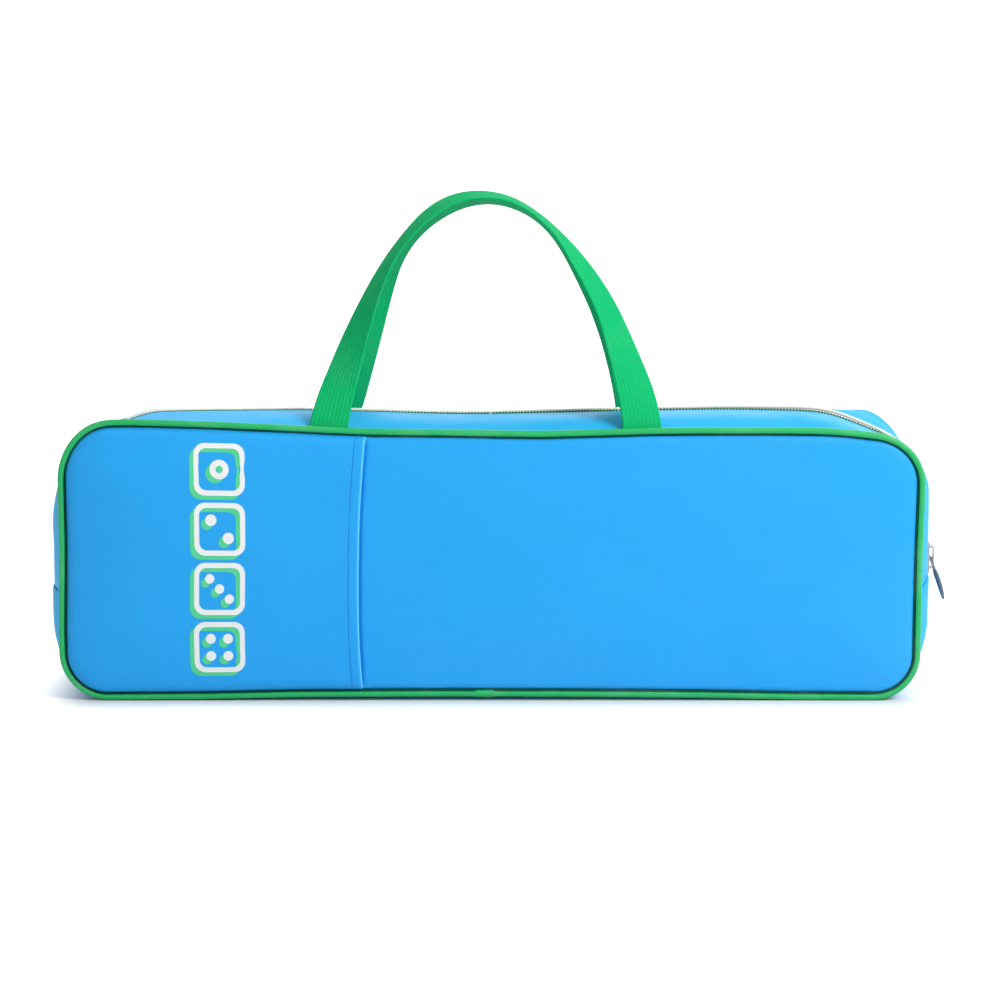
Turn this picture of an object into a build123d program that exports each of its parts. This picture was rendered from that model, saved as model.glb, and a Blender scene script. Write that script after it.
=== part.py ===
from build123d import *
from math import atan, cos, degrees, radians, sin
import os

# A soft case for a tile set: two crowned faces sewn to one gusset that runs round them. The gusset's
# top and upper ends open with a zip, and a webbing handle is sewn into each long top seam.
# X runs along the case, Y from front to back, Z up. The origin is on the floor under its centre.

# ---------------------------------------------------------------- driving dimensions (mm, degrees)
seam_length = 560.0  # piping centre to piping centre, left to right
seam_height = 178.0  # piping centre to piping centre at the corners
seam_depth = 100.0  # front seam plane to back seam plane
corner_radius = 40.0
least_corner = 8.0  # corner radius of the innermost outlines
foot_height = 3.0  # piping centre above the floor at the bottom corners
top_sag = 4.5  # dip of the top seam at mid length
bottom_rise = 2.6  # lift of the bottom seam at mid length
end_bulge = 11.5  # how far the ends swell beyond the seam
top_bulge = 5.0  # how far the zip line stands over the top seam
middle_sag = 2.8  # dip of the zip line at mid length
bulge_power = 3.0
base_half_width = 38.0  # half width of the flat base
zip_flat_half_width = 14.0  # the gusset is level across the zip over this half width

fabric = 1.2  # coated fabric of the faces and the gusset
lining = 0.5
foam = 4.0
ply_gap = 0.2  # free space between plies that lie on each other

piping_radius = 2.6
cord_radius = 1.8
cord_gap = 0.1
flange = 0.8  # doubled piping fabric in the seam
allowance = 9.0  # seam allowance, from the piping centre inwards
fabric_start = 2.9  # where the face fabric meets the piping, from the piping centre
lip_start = 3.1  # where the gusset turns into the seam, from the piping centre
gusset_start = 3.2  # where the gusset's wall leaves the piping, behind the seam plane
lip = 1.0
binding = 0.4  # tape round the raw edges of the seam
binding_depth = 2.4
binding_gap = 0.05

# the swell of a face: how far in from the seam, how far proud
panel_crown = ((fabric_start, 0.0), (14.0, 1.4), (34.0, 3.4), (60.0, 4.9))
pocket_crown = ((fabric_start, 0.0), (14.0, 1.95), (34.0, 4.55), (60.0, 6.05))
inner_rim = 12.0  # where the foam and the lining of a face begin, in from the seam
pocket_edge_top = -82.0
pocket_edge_middle = -87.5
pocket_edge_bottom = -84.5
pocket_gap = 0.05

end_seam_height = 74.0  # where the zip gusset joins the bottom gusset
end_seam_gap = 0.2
zip_gap = 9.5  # clear width between the two zip strips
tape = 0.6
tape_width = 13.0  # of one tape, from the coil outwards
tape_tuck = 4.0  # how far the tapes run under the bottom gusset
coil_split = 1.4  # between the two rows of the coil
coil_width = 3.0
coil_height = 2.6
coil_gap = 0.05  # between the coil and its tape
zip_stop_length = 2.0
zip_stop_gap = 0.3

base_board = 2.5
base_foam = 4.0
base_board_side_gap = 0.5  # inside the flat base

flap_line = 44.5  # hinge line of each flap, from the middle
flap_gap = 0.5
flap_half_length = 238.0
flap_end_gap = 0.4

strap_width = 25.4
strap_thickness = 1.7
handle_span = 204.8  # strap centre to strap centre at the seam
handle_off_centre = -4.0
handle_rise = 152.0  # strap centre line at the top of its arch, over the seam
arch_power = 2.44
handle_top_twist = 63.0  # how far the strap has turned flat at the top of the arch
twist_power = 2.8
handle_gap = 0.2  # half the gap between the two straps where they meet at the top
handle_piping_gap = 0.25
handle_straight = 30.0  # height over which the strap leaves the seam squarely
strap_half_steps = 8
tail_length = 10.5
tail_step = 0.9
tail_step_start = 2.0
tail_step_end = 5.0
notch_gap = 0.6
notch_back = 42.0  # the notch round a strap reaches this close to the middle

slider_length = 21.0
slider_width = 12.0
slider_tail_width = 9.0
slider_plate = 1.4
slider_gap = 0.3
slider_lining_gap = 1.4  # beside the slider, inside the case
slider_post = 0.7
slider_post_length = 7.0
slider_corner = 2.0
bridge_length = 16.0
bridge_width = 3.4
bridge_band = 1.0
bridge_clear = 2.6  # height under the bridge
bridge_foot = 1.75
bridge_corner = 2.2
pull_length = 30.0
pull_width = 8.0
pull_tip_width = 5.4
pull_thickness = 1.2
pull_pin_radius = 0.7
pull_window_gap = 0.5
pull_window_length = 9.8
pull_corner = 1.6
pull_lean = 18.0  # the pull hangs this far out from upright

# ---------------------------------------------------------------- worked out
half_length = seam_length / 2
half_depth = seam_depth / 2
seam_top = foot_height + seam_height
gusset_edge = half_depth - gusset_start
gusset_end = half_depth - flange / 2 - lip
panel_back = half_depth + flange / 2
beyond = 400.0  # larger than the case, for cutting boxes
through = 0.5  # overshoot of a cutting form

strap_clear = piping_radius + handle_piping_gap
strap_radius = strap_clear + strap_thickness / 2
hinge_height = seam_top - top_sag * (1 - (handle_span / 2 / half_length) ** 2)
strap_base_y = half_depth - strap_radius


def face_outline(half, low, high, sag, rise, radius):
    # The case seen from the front: hollow top edge, arched or level bottom edge, round corners.
    with BuildSketch(Plane.XY, mode=Mode.PRIVATE) as shape:
        with BuildLine():
            ThreePointArc((-half, high), (0, high - sag), (half, high))
            Line((half, high), (half, low))
            if rise > 0:
                ThreePointArc((half, low), (0, low + rise), (-half, low))
            else:
                Line((half, low), (-half, low))
            Line((-half, low), (-half, high))
        make_face()
        fillet(shape.vertices(), radius)
    return shape.sketch


def seam_outline(inset):
    # The seam's outline moved inwards.
    radius = max(corner_radius - inset, least_corner)
    low = foot_height + inset
    high = seam_top - inset
    return face_outline(half_length - inset, low, high, top_sag, bottom_rise, radius)


def gusset_outline(distance, inset):
    # The gusset's outline at a distance from the middle plane, moved inwards.
    swell = 1 - (max(distance, zip_flat_half_width) / gusset_edge) ** bulge_power
    lift = max(distance - base_half_width, 0) / (gusset_edge - base_half_width)
    half = half_length + end_bulge * swell - inset
    high = seam_top + top_bulge * swell - inset
    low = foot_height * lift + inset
    sag = top_sag + (middle_sag - top_sag) * swell
    return face_outline(half, low, high, sag, bottom_rise * lift, corner_radius - inset)


gusset_stations = (
    gusset_edge,
    (gusset_edge + base_half_width) / 2,
    base_half_width,
    (base_half_width + zip_flat_half_width) / 2,
    zip_flat_half_width,
)


def gusset_form(inset, overshoot):
    # The solid inside the gusset's outer surface moved inwards, from seam to seam.
    ends = [(gusset_end, seam_outline(lip_start + inset))]
    if overshoot:
        ends.insert(0, (gusset_end + overshoot, seam_outline(lip_start + inset)))
    front = ends + [(d, gusset_outline(d, inset)) for d in gusset_stations]
    stations = front + [(-d, outline) for d, outline in reversed(front)]
    with BuildPart() as form:
        for distance, outline in stations:
            with BuildSketch(Plane.XZ.offset(distance)):
                add(outline)
        loft(ruled=True)
    return form.part


def proud_at(crown, inset):
    # How far proud a crowned face stands at a distance in from the seam.
    for (near, low), (far, high) in zip(crown, crown[1:]):
        if near <= inset <= far:
            return low + (high - low) * (inset - near) / (far - near)
    return crown[-1][1]


def crowned_form(crown, base, start):
    # A face's crowned form: its outline stepped inwards and forwards.
    levels = [(crown[0][0], base)] + [(inset, start + proud) for inset, proud in crown]
    with BuildPart() as form:
        for inset, distance in levels:
            with BuildSketch(Plane.XZ.offset(distance)):
                add(seam_outline(inset))
        loft(ruled=True)
    return form.part


def crowned_sheet(crown, back, thickness):
    # A sheet of even thickness on a crowned face.
    with BuildPart() as sheet:
        add(crowned_form(crown, back, back + thickness))
        add(crowned_form(crown, back - thickness, back), mode=Mode.SUBTRACT)
    return sheet.part


def seam_ring(outer, inner, start, thickness):
    # A flat ring that follows the seam.
    with BuildPart() as ring:
        with BuildSketch(Plane.XZ.offset(start)):
            add(seam_outline(outer))
            add(seam_outline(inner), mode=Mode.SUBTRACT)
        extrude(amount=thickness)
    return ring.part


def middle_band(outer, inner, near, width):
    # A band that follows the zip line, on the front side of the middle plane.
    with BuildPart() as band:
        with BuildSketch(Plane.XZ.offset(near)):
            add(gusset_outline(0, outer))
            add(gusset_outline(0, inner), mode=Mode.SUBTRACT)
        extrude(amount=width)
    return band.part


def slab(low, high):
    # A box between two corners.
    with BuildPart(mode=Mode.PRIVATE) as block:
        size = [b - a for a, b in zip(low, high)]
        with Locations(tuple((a + b) / 2 for a, b in zip(low, high))):
            Box(*size)
    return block.part


def back_copy(front):
    # The matching piece at the back.
    with BuildPart() as piece:
        mirror(front, about=Plane.XZ)
    return piece.part


pieces = []


def keep(part, name):
    part.label = name
    pieces.append(part)


above_end_seam = slab((-beyond, -beyond, end_seam_height), (beyond, beyond, beyond))
below_end_seam = slab((-beyond, -beyond, -beyond), (beyond, beyond, end_seam_height - end_seam_gap))

# ---------------------------------------------------------------- faces
with BuildPart() as front_panel:
    add(crowned_sheet(panel_crown, panel_back, fabric))
keep(front_panel.part, "front_panel")

keep(back_copy(front_panel.part), "back_panel")

# The slip pocket lies over the left third of the front and opens towards the right.
with BuildPart() as pocket_panel:
    add(crowned_sheet(pocket_crown, panel_back + fabric + pocket_gap, fabric))
    with BuildSketch(Plane.XZ) as pocket_reach:
        with BuildLine():
            top = (pocket_edge_top, seam_top)
            middle = (pocket_edge_middle, foot_height + seam_height / 2)
            bottom = (pocket_edge_bottom, foot_height)
            ThreePointArc(top, middle, bottom)
            Polyline(bottom, (-half_length, foot_height), (-half_length, seam_top), top)
        make_face()
    extrude(amount=seam_depth, mode=Mode.INTERSECT)
keep(pocket_panel.part, "pocket_panel")

foam_crown = [(inner_rim, proud_at(panel_crown, inner_rim))] + list(panel_crown[2:])
foam_back = panel_back - ply_gap - foam
with BuildPart() as front_foam:
    add(crowned_sheet(foam_crown, foam_back, foam))
keep(front_foam.part, "front_foam")
keep(back_copy(front_foam.part), "back_foam")

with BuildPart() as front_lining:
    add(crowned_sheet(foam_crown, foam_back - ply_gap - lining, lining))
keep(front_lining.part, "front_lining")
keep(back_copy(front_lining.part), "back_lining")

# ---------------------------------------------------------------- piping
with BuildSketch(Plane.XZ.offset(half_depth)) as seam_sketch:
    add(seam_outline(0))
seam_path = seam_sketch.sketch.face().outer_wire()
seam_start = Plane(origin=seam_path @ 0, z_dir=seam_path % 0)


def piping_tube(radius):
    with BuildPart() as tube:
        with BuildSketch(seam_start):
            Circle(radius)
        sweep(path=seam_path)
    return tube.part


piping_bore = cord_radius + cord_gap
with BuildPart() as front_piping_cover:
    add(piping_tube(piping_radius))
    add(seam_ring((piping_radius + piping_bore) / 2, allowance, half_depth - flange / 2, flange))
    add(piping_tube(piping_bore), mode=Mode.SUBTRACT)
keep(front_piping_cover.part, "front_piping_cover")
keep(back_copy(front_piping_cover.part), "back_piping_cover")

with BuildPart() as front_piping_cord:
    add(piping_tube(cord_radius))
keep(front_piping_cord.part, "front_piping_cord")
keep(back_copy(front_piping_cord.part), "back_piping_cord")

# Binding tape folded round the raw edges of the seam, inside the case.
edge_front = half_depth + flange / 2 + binding_gap
edge_back = gusset_end - binding_gap
raw_edge = allowance + binding_gap
binding_edge = raw_edge + binding
edge_stack = edge_front - edge_back
with BuildPart() as front_seam_binding:
    add(seam_ring(binding_edge - binding_depth, binding_edge, edge_back - binding, edge_stack + 2 * binding))
    add(seam_ring(0, raw_edge, edge_back, edge_stack), mode=Mode.SUBTRACT)
keep(front_seam_binding.part, "front_seam_binding")
keep(back_copy(front_seam_binding.part), "back_seam_binding")

# ---------------------------------------------------------------- gusset
with BuildPart() as gusset_shell:
    add(gusset_form(0, 0))
    add(gusset_form(fabric, through), mode=Mode.SUBTRACT)

with BuildPart() as gusset_lips:
    add(seam_ring(lip_start, allowance, gusset_end, lip))
    mirror(about=Plane.XZ)

with BuildPart() as bottom_gusset:
    add(gusset_shell.part)
    add(gusset_lips.part)
    add(below_end_seam, mode=Mode.INTERSECT)
keep(bottom_gusset.part, "bottom_gusset")

# Room for one strap to leave the seam, for the two straps of each handle.
strap_spots = (handle_off_centre - handle_span / 2, handle_off_centre + handle_span / 2)
with BuildPart() as strap_notches:
    notch_depth = gusset_end - binding_gap - notch_back
    with Locations([(x, -(notch_back + notch_depth / 2), seam_top) for x in strap_spots]):
        Box(strap_width + 2 * notch_gap, notch_depth, seam_height / 2)
    mirror(about=Plane.XZ)

flap_reach = flap_half_length + flap_end_gap
flap_hole_side = flap_line + flap_gap / 2
flap_side = flap_line - flap_gap / 2
flap_hole_low = (-flap_reach, -flap_hole_side, end_seam_height)
with BuildPart() as zip_gusset:
    add(gusset_shell.part)
    add(slab((-beyond, -zip_gap / 2, -beyond), (beyond, zip_gap / 2, beyond)), mode=Mode.SUBTRACT)
    add(slab(flap_hole_low, (flap_reach, flap_hole_side, beyond)), mode=Mode.SUBTRACT)
    add(strap_notches.part, mode=Mode.SUBTRACT)
    add(gusset_lips.part)
    add(above_end_seam, mode=Mode.INTERSECT)
keep(zip_gusset.part, "zip_gusset")

flap_low = (-flap_half_length, -flap_side, end_seam_height)
with BuildPart() as front_flap:
    add(gusset_shell.part)
    add(slab(flap_low, (flap_half_length, -zip_gap / 2, beyond)), mode=Mode.INTERSECT)
    add(strap_notches.part, mode=Mode.SUBTRACT)
keep(front_flap.part, "front_flap")
keep(back_copy(front_flap.part), "back_flap")

# ---------------------------------------------------------------- gusset lining
tape_inset = fabric + ply_gap / 2
lining_inset = tape_inset + tape + ply_gap
lining_side = gusset_end - ply_gap
with BuildPart() as lining_shell:
    add(gusset_form(lining_inset, 0))
    add(gusset_form(lining_inset + lining, through), mode=Mode.SUBTRACT)
    add(slab((-beyond, -lining_side, -beyond), (beyond, lining_side, beyond)), mode=Mode.INTERSECT)

with BuildPart() as bottom_lining:
    add(lining_shell.part)
    add(below_end_seam, mode=Mode.INTERSECT)
keep(bottom_lining.part, "bottom_lining")

lining_zip_side = slider_width / 2 + slider_lining_gap
with BuildPart() as end_linings:
    add(lining_shell.part)
    add(above_end_seam, mode=Mode.INTERSECT)
    add(slab((-beyond, -lining_zip_side, -beyond), (beyond, lining_zip_side, beyond)), mode=Mode.SUBTRACT)
    add(slab((-flap_reach, -beyond, -beyond), (flap_reach, beyond, beyond)), mode=Mode.SUBTRACT)
keep(end_linings.part, "end_linings")

with BuildPart() as front_flap_lining:
    add(lining_shell.part)
    add(slab(flap_low, (flap_half_length, -lining_zip_side, beyond)), mode=Mode.INTERSECT)
    add(strap_notches.part, mode=Mode.SUBTRACT)
keep(front_flap_lining.part, "front_flap_lining")
keep(back_copy(front_flap_lining.part), "back_flap_lining")

# ---------------------------------------------------------------- base
board_half_length = half_length - corner_radius
board_half_width = base_half_width - base_board_side_gap
base_foam_bottom = lining_inset + lining + ply_gap
with BuildPart() as base_pad:
    low = (-board_half_length, -board_half_width, base_foam_bottom)
    add(slab(low, (board_half_length, board_half_width, base_foam_bottom + base_foam)))
keep(base_pad.part, "base_foam")

base_board_bottom = base_foam_bottom + base_foam + ply_gap
with BuildPart() as base_stiffener:
    low = (-board_half_length, -board_half_width, base_board_bottom)
    add(slab(low, (board_half_length, board_half_width, base_board_bottom + base_board)))
keep(base_stiffener.part, "base_board")

# ---------------------------------------------------------------- zip
coil_foot = tape_inset - coil_gap
front_tape_band = middle_band(tape_inset, tape_inset + tape, coil_split / 2, tape_width)
front_coil_band = middle_band(coil_foot - coil_height, coil_foot, coil_split / 2, coil_width)
on_flap = slab((-flap_half_length, -beyond, end_seam_height), (flap_half_length, beyond, beyond))
off_flap = slab((-flap_reach, -beyond, end_seam_height), (flap_reach, beyond, beyond))
zip_foot = end_seam_height - tape_tuck
over_zip_foot = slab((-beyond, -beyond, zip_foot), (beyond, beyond, beyond))

with BuildPart() as front_zip_tape:
    add(front_tape_band)
    add(on_flap, mode=Mode.INTERSECT)
keep(front_zip_tape.part, "front_zip_tape")
keep(back_copy(front_zip_tape.part), "back_zip_tape")

with BuildPart() as front_coil:
    add(front_coil_band)
    add(on_flap, mode=Mode.INTERSECT)
keep(front_coil.part, "front_coil")
keep(back_copy(front_coil.part), "back_coil")

with BuildPart() as end_zip_tapes:
    add(front_tape_band)
    add(over_zip_foot, mode=Mode.INTERSECT)
    add(off_flap, mode=Mode.SUBTRACT)
    mirror(about=Plane.XZ)
keep(end_zip_tapes.part, "end_zip_tapes")

coil_end = end_seam_height + zip_stop_gap + zip_stop_length + zip_stop_gap
with BuildPart() as end_coils:
    add(front_coil_band)
    add(slab((-beyond, -beyond, coil_end), (beyond, beyond, beyond)), mode=Mode.INTERSECT)
    add(off_flap, mode=Mode.SUBTRACT)
    mirror(about=Plane.XZ)
keep(end_coils.part, "end_coils")

# A crimped stop closes the coil at each end seam.
zip_line = half_length + end_bulge * (1 - (zip_flat_half_width / gusset_edge) ** bulge_power)
coil_top = zip_line - coil_foot + coil_height
stop_bottom = end_seam_height + zip_stop_gap
with BuildPart() as zip_stops:
    for side in (-1, 1):
        ends = sorted((side * (zip_line - coil_foot), side * coil_top))
        half = coil_split / 2 + coil_width
        add(slab((ends[0], -half, stop_bottom), (ends[1], half, stop_bottom + zip_stop_length)))
keep(zip_stops.part, "zip_stops")

# ---------------------------------------------------------------- handles
first_lean = atan((strap_base_y - strap_width / 2) / handle_rise)
top_turn = radians(handle_top_twist) + first_lean
strap_top_y = strap_width / 2 * sin(top_turn) + strap_thickness / 2 * cos(top_turn) + handle_gap
handle_lean = atan((strap_base_y - strap_top_y) / handle_rise)


def strap_plane(q):
    # The strap's cross plane, from its left foot, q = -1, over the arch to its right foot, q = 1.
    # The arch lies in a plane that leans over the case, and the strap turns flat on its way up.
    reach = abs(q)
    height = handle_rise * (1 - reach**arch_power)
    climb = -arch_power * handle_rise * reach ** (arch_power - 1) * (1 if q > 0 else -1)
    back_step = (strap_base_y - strap_top_y) / handle_rise
    x = handle_off_centre + handle_span / 2 * q
    place = Vector(x, -strap_base_y + back_step * height, hinge_height + height)
    along = Vector(handle_span / 2, back_step * climb, climb).normalized()
    inwards = Vector(0, cos(handle_lean), -sin(handle_lean))
    foot_side = Vector(1 if q > 0 else -1, 0, 0)
    ease = min(1.0, height / handle_straight)
    outwards = (foot_side * (1 - ease) + along.cross(inwards) * ease).normalized()
    twist = radians(handle_top_twist) * (1 - reach**twist_power)
    width_way = (outwards * cos(twist) + inwards * sin(twist)).normalized()
    upright = Vector(0, 0, -1 if q > 0 else 1)
    course = (upright * (1 - ease) + along * ease).normalized()
    normal = (course - width_way * course.dot(width_way)).normalized()
    return Plane(origin=place, x_dir=width_way, z_dir=normal)


def strap_steps():
    # Even steps from the top of the arch, closer together at the feet.
    half = [1 - (1 - step / strap_half_steps) ** 2 for step in range(1, strap_half_steps + 1)]
    return [-q for q in reversed(half)] + [0.0] + half


with BuildPart() as front_handle:
    for q in strap_steps():
        with BuildSketch(strap_plane(q)):
            Rectangle(strap_width, strap_thickness)
    loft()
keep(front_handle.part, "front_handle")
keep(back_copy(front_handle.part), "back_handle")

# The sewn ends of the straps, inside the top seams.
with BuildPart() as handle_tails:
    for x in strap_spots:
        with BuildSketch(Plane.YZ.offset(x - strap_width / 2)):
            with BuildLine():
                Polyline(
                    (-strap_base_y, hinge_height),
                    (-strap_base_y, hinge_height - tail_step_start),
                    (-strap_base_y - tail_step, hinge_height - tail_step_end),
                    (-strap_base_y - tail_step, hinge_height - tail_length),
                )
            trace(line_width=strap_thickness)
        extrude(amount=strap_width)
    foot_plane = slab((-beyond, -beyond, hinge_height - tail_length), (beyond, beyond, hinge_height))
    add(foot_plane, mode=Mode.INTERSECT)
    mirror(about=Plane.XZ)
keep(handle_tails.part, "handle_tails")

# ---------------------------------------------------------------- slider and pull, on the right end
slider_bottom = coil_end + slider_gap
slider_middle = slider_bottom + slider_length / 2
plate_face = coil_top + slider_gap
inner_face = zip_line - tape_inset - tape - slider_gap


def slider_outline(plane_x):
    with BuildSketch(Plane.YZ.offset(plane_x)) as shape:
        with BuildLine():
            Polyline(
                (-slider_width / 2, slider_bottom),
                (slider_width / 2, slider_bottom),
                (slider_tail_width / 2, slider_bottom + slider_length),
                (-slider_tail_width / 2, slider_bottom + slider_length),
                close=True,
            )
        make_face()
        fillet(shape.vertices(), slider_corner)
    return shape.sketch


with BuildPart() as slider_body:
    extrude(slider_outline(plate_face), amount=slider_plate)
    extrude(slider_outline(inner_face - slider_plate), amount=slider_plate)
    post_low = (inner_face - slider_plate / 2, -slider_post / 2, slider_bottom)
    post_high = (plate_face + slider_plate / 2, slider_post / 2, slider_bottom + slider_post_length)
    add(slab(post_low, post_high))
keep(slider_body.part, "slider_body")

plate_top = plate_face + slider_plate
bridge_top = plate_top + bridge_clear + bridge_band
with BuildPart() as slider_bridge:
    with BuildSketch(Plane.XZ.offset(-bridge_width / 2)) as bridge_shape:
        with Locations(((plate_top + bridge_top) / 2, slider_middle)):
            Rectangle(bridge_top - plate_top, bridge_length)
        outer_corners = bridge_shape.vertices().group_by(Axis.X)[-1]
        fillet(outer_corners, bridge_corner)
        with Locations((plate_top + bridge_clear / 2, slider_middle)):
            Rectangle(bridge_clear, bridge_length - 2 * bridge_foot, mode=Mode.SUBTRACT)
    extrude(amount=bridge_width)
keep(slider_bridge.part, "slider_bridge")

# The pull is a tapered tab with a window for the bridge and a pin under it.
pin_x = plate_top + bridge_clear / 2
pull_face = (-cos(radians(pull_lean)), 0, -sin(radians(pull_lean)))
pull_plane = Plane(origin=(pin_x, 0, slider_middle), x_dir=(0, 1, 0), z_dir=pull_face)
window_width = bridge_width + 2 * pull_window_gap
with BuildPart() as pull:
    with BuildSketch(pull_plane.offset(-pull_thickness / 2)) as pull_shape:
        with BuildLine():
            Polyline(
                (-pull_width / 2, -pull_thickness / 2),
                (pull_width / 2, -pull_thickness / 2),
                (pull_width / 2, pull_window_length),
                (pull_tip_width / 2, pull_length),
                (-pull_tip_width / 2, pull_length),
                (-pull_width / 2, pull_window_length),
                close=True,
            )
        make_face()
        fillet(pull_shape.vertices().group_by(Axis.Y)[-1], pull_corner)
        with Locations((0, pull_window_length / 2 - pull_thickness)):
            Rectangle(window_width, pull_window_length, mode=Mode.SUBTRACT)
    extrude(amount=pull_thickness)
    with BuildSketch(Plane.XZ.offset(-pull_width / 2)):
        with Locations((pin_x, slider_middle)):
            Circle(pull_pin_radius)
    extrude(amount=pull_width)
keep(pull.part, "pull")

# ---------------------------------------------------------------- hand out the pieces
os.makedirs("parts", exist_ok=True)
for piece in pieces:
    export_step(piece, f"parts/{piece.label}.step")
print("pieces", len(pieces))
print("handle hinge", half_depth, round(hinge_height, 3), "lean", round(degrees(handle_lean), 2))
print("flap line", flap_line, "pull pin", round(pin_x, 3), round(slider_middle, 3))
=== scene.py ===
import math

import bpy
import numpy as np
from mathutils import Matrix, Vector, geometry, noise


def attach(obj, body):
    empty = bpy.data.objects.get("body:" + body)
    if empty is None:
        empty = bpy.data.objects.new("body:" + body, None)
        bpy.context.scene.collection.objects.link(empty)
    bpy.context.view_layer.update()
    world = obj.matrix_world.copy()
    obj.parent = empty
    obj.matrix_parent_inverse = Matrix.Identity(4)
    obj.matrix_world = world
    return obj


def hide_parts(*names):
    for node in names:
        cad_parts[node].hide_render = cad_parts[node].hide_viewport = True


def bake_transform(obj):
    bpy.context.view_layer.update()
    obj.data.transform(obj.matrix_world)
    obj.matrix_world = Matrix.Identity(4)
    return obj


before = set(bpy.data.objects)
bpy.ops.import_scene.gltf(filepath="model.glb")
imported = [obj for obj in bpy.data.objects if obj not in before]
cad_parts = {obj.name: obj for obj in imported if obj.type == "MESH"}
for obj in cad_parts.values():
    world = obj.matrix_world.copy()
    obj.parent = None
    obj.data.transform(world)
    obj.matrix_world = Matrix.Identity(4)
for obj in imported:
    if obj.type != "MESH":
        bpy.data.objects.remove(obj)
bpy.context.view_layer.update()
print("frame loaded")

# Shapes are worked out in millimetres, X along the case, Y front to back, Z up, and turned to metres in makeMesh.

# ---------------------------------------------------------------- the case's form
caseForm = {
    "halfLength": 280.0,  # seam centre from the middle
    "footHeight": 3.0,
    "seamTop": 181.0,
    "halfDepth": 50.0,
    "topRadius": (34.5, 30.8),  # left and right corners of the seam
    "lowRadius": (29.5, 28.0),
    "topEase": (40.0, 40.0),  # how much longer the corners are along the top at the zip
    "sideEase": (40.0, 15.0),  # and down the ends; the right one stays straight where the slider runs
    "lowEase": 22.0,
    "topSag": 4.5,
    "bottomRise": 2.6,
    "endBulge": 11.5,
    "topBulge": 5.0,
    "middleSag": 2.8,
    "bulgePower": 3.0,
    "baseHalfWidth": 38.0,
    "zipFlat": 14.0,
    "gussetEdge": 46.8,  # where the gusset turns down behind the piping
    "gussetEnd": 48.6,
    "lipStart": 3.1,
    "backDip": 1.5,  # how much lower the top lies behind the zip
}

# How the soft case has settled: (x, lift) of each line, left to right.
settling = {
    "frontTop": [(-300, 0.0), (-280, 0.5), (-272, 2.4), (-262, 3.6), (-248, 3.8), (-234, 4.5), (-188, 4.4), (-156, 3.6),
                 (-124, 2.7), (-85, 1.2), (-27, 0.9), (32, -0.1), (71, 0.7), (103, 1.4), (136, 1.2), (181, 0.5),
                 (213, -0.6), (227, -1.6), (240, -3.4), (252, -5.2), (262, -5.9), (300, -6.2)],
    "backTop": [(-300, -6.5), (-262, -6.5), (-235, -6.0), (-215, -3.5), (-190, -1.8), (-150, -1.2), (-40, -0.3), (60, 0.3),
                (150, 1.0), (225, 0.4), (240, -0.8), (262, -1.8), (300, -2.0)],
    "bottom": [(-300, -0.6), (-240, -1.1), (-190, -1.5), (-125, -0.8), (0, -0.9), (140, -1.1), (200, -1.6), (300, -0.6)],
    "crest": [(-300, -1.6), (-262, -1.6), (-250, -1.2), (-240, -0.4), (-226, 1.1), (-194, 2.4), (-127, 3.7), (-74, 2.9),
              (-27, 1.7), (0, 1.6), (46, 2.6), (106, 3.5), (156, 3.8), (205, 2.3), (220, 0.9), (228, -1.0), (236, -3.0),
              (246, -4.9), (254, -5.9), (263, -6.0), (270, -5.6), (300, -5.2)],
}
# Sideways shift of the seams at the ends: (height, shift) at the left and at the right.
endShift = {
    "left": [(0, -1.1), (45, -1.1), (70, -0.4), (100, 0.5), (150, 0.5), (181, 0.0)],
    "right": [(0, 0.3), (60, 0.1), (110, 0.2), (140, 0.8), (181, 0.8)],
}


def smoothStep(t):
    t = np.clip(t, 0, 1)
    return t * t * (3 - 2 * t)


def easedLine(pairs, width=13):
    # a line through the pairs with its corners rounded off
    x = np.arange(-340.0, 341.0)
    y = np.interp(x, *zip(*pairs))
    kernel = np.hanning(2 * width + 1)
    y = np.convolve(np.pad(y, width, mode="edge"), kernel / kernel.sum(), mode="valid")
    return lambda at: np.interp(at, x, y)


settledLines = {name: easedLine(pairs) for name, pairs in settling.items()}


def swellAt(distance):
    across = np.maximum(np.abs(distance), caseForm["zipFlat"]) / caseForm["gussetEdge"]
    return np.maximum(1 - across ** caseForm["bulgePower"], 0)


def settle(points):
    x, y, z = points[..., 0], points[..., 1], points[..., 2]
    up = smoothStep((z - 8) / 165)
    back = smoothStep((y + 30) / 60)
    top = settledLines["frontTop"](x) * (1 - back) + settledLines["backTop"](x) * back
    swell = smoothStep(swellAt(y) * 1.1)
    low = settledLines["bottom"](x) * (1 - swell)
    high = top * (1 - swell) + settledLines["crest"](x) * swell
    lifted = points.copy()
    leftShift, rightShift = (np.interp(z, *zip(*endShift[end])) for end in ("left", "right"))
    lean = np.interp(x, (-240, 240), (0, 1))
    lifted[..., 0] = x + (leftShift * (1 - lean) + rightShift * lean) * (1 - swell)
    lifted[..., 2] = np.maximum(z + low * (1 - up) + high * up, 0.0)
    return lifted


def seamShape(inset):
    # half length, low, high, sag, rise and corner radii (top along, top down, low) of the seam moved inwards
    f = caseForm
    return (f["halfLength"] - inset, f["footHeight"] + inset, f["seamTop"] - inset, f["topSag"], f["bottomRise"],
            *[[max(r - inset, 6.0) for r in f[corner]] for corner in ("topRadius", "topRadius", "lowRadius")])


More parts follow.
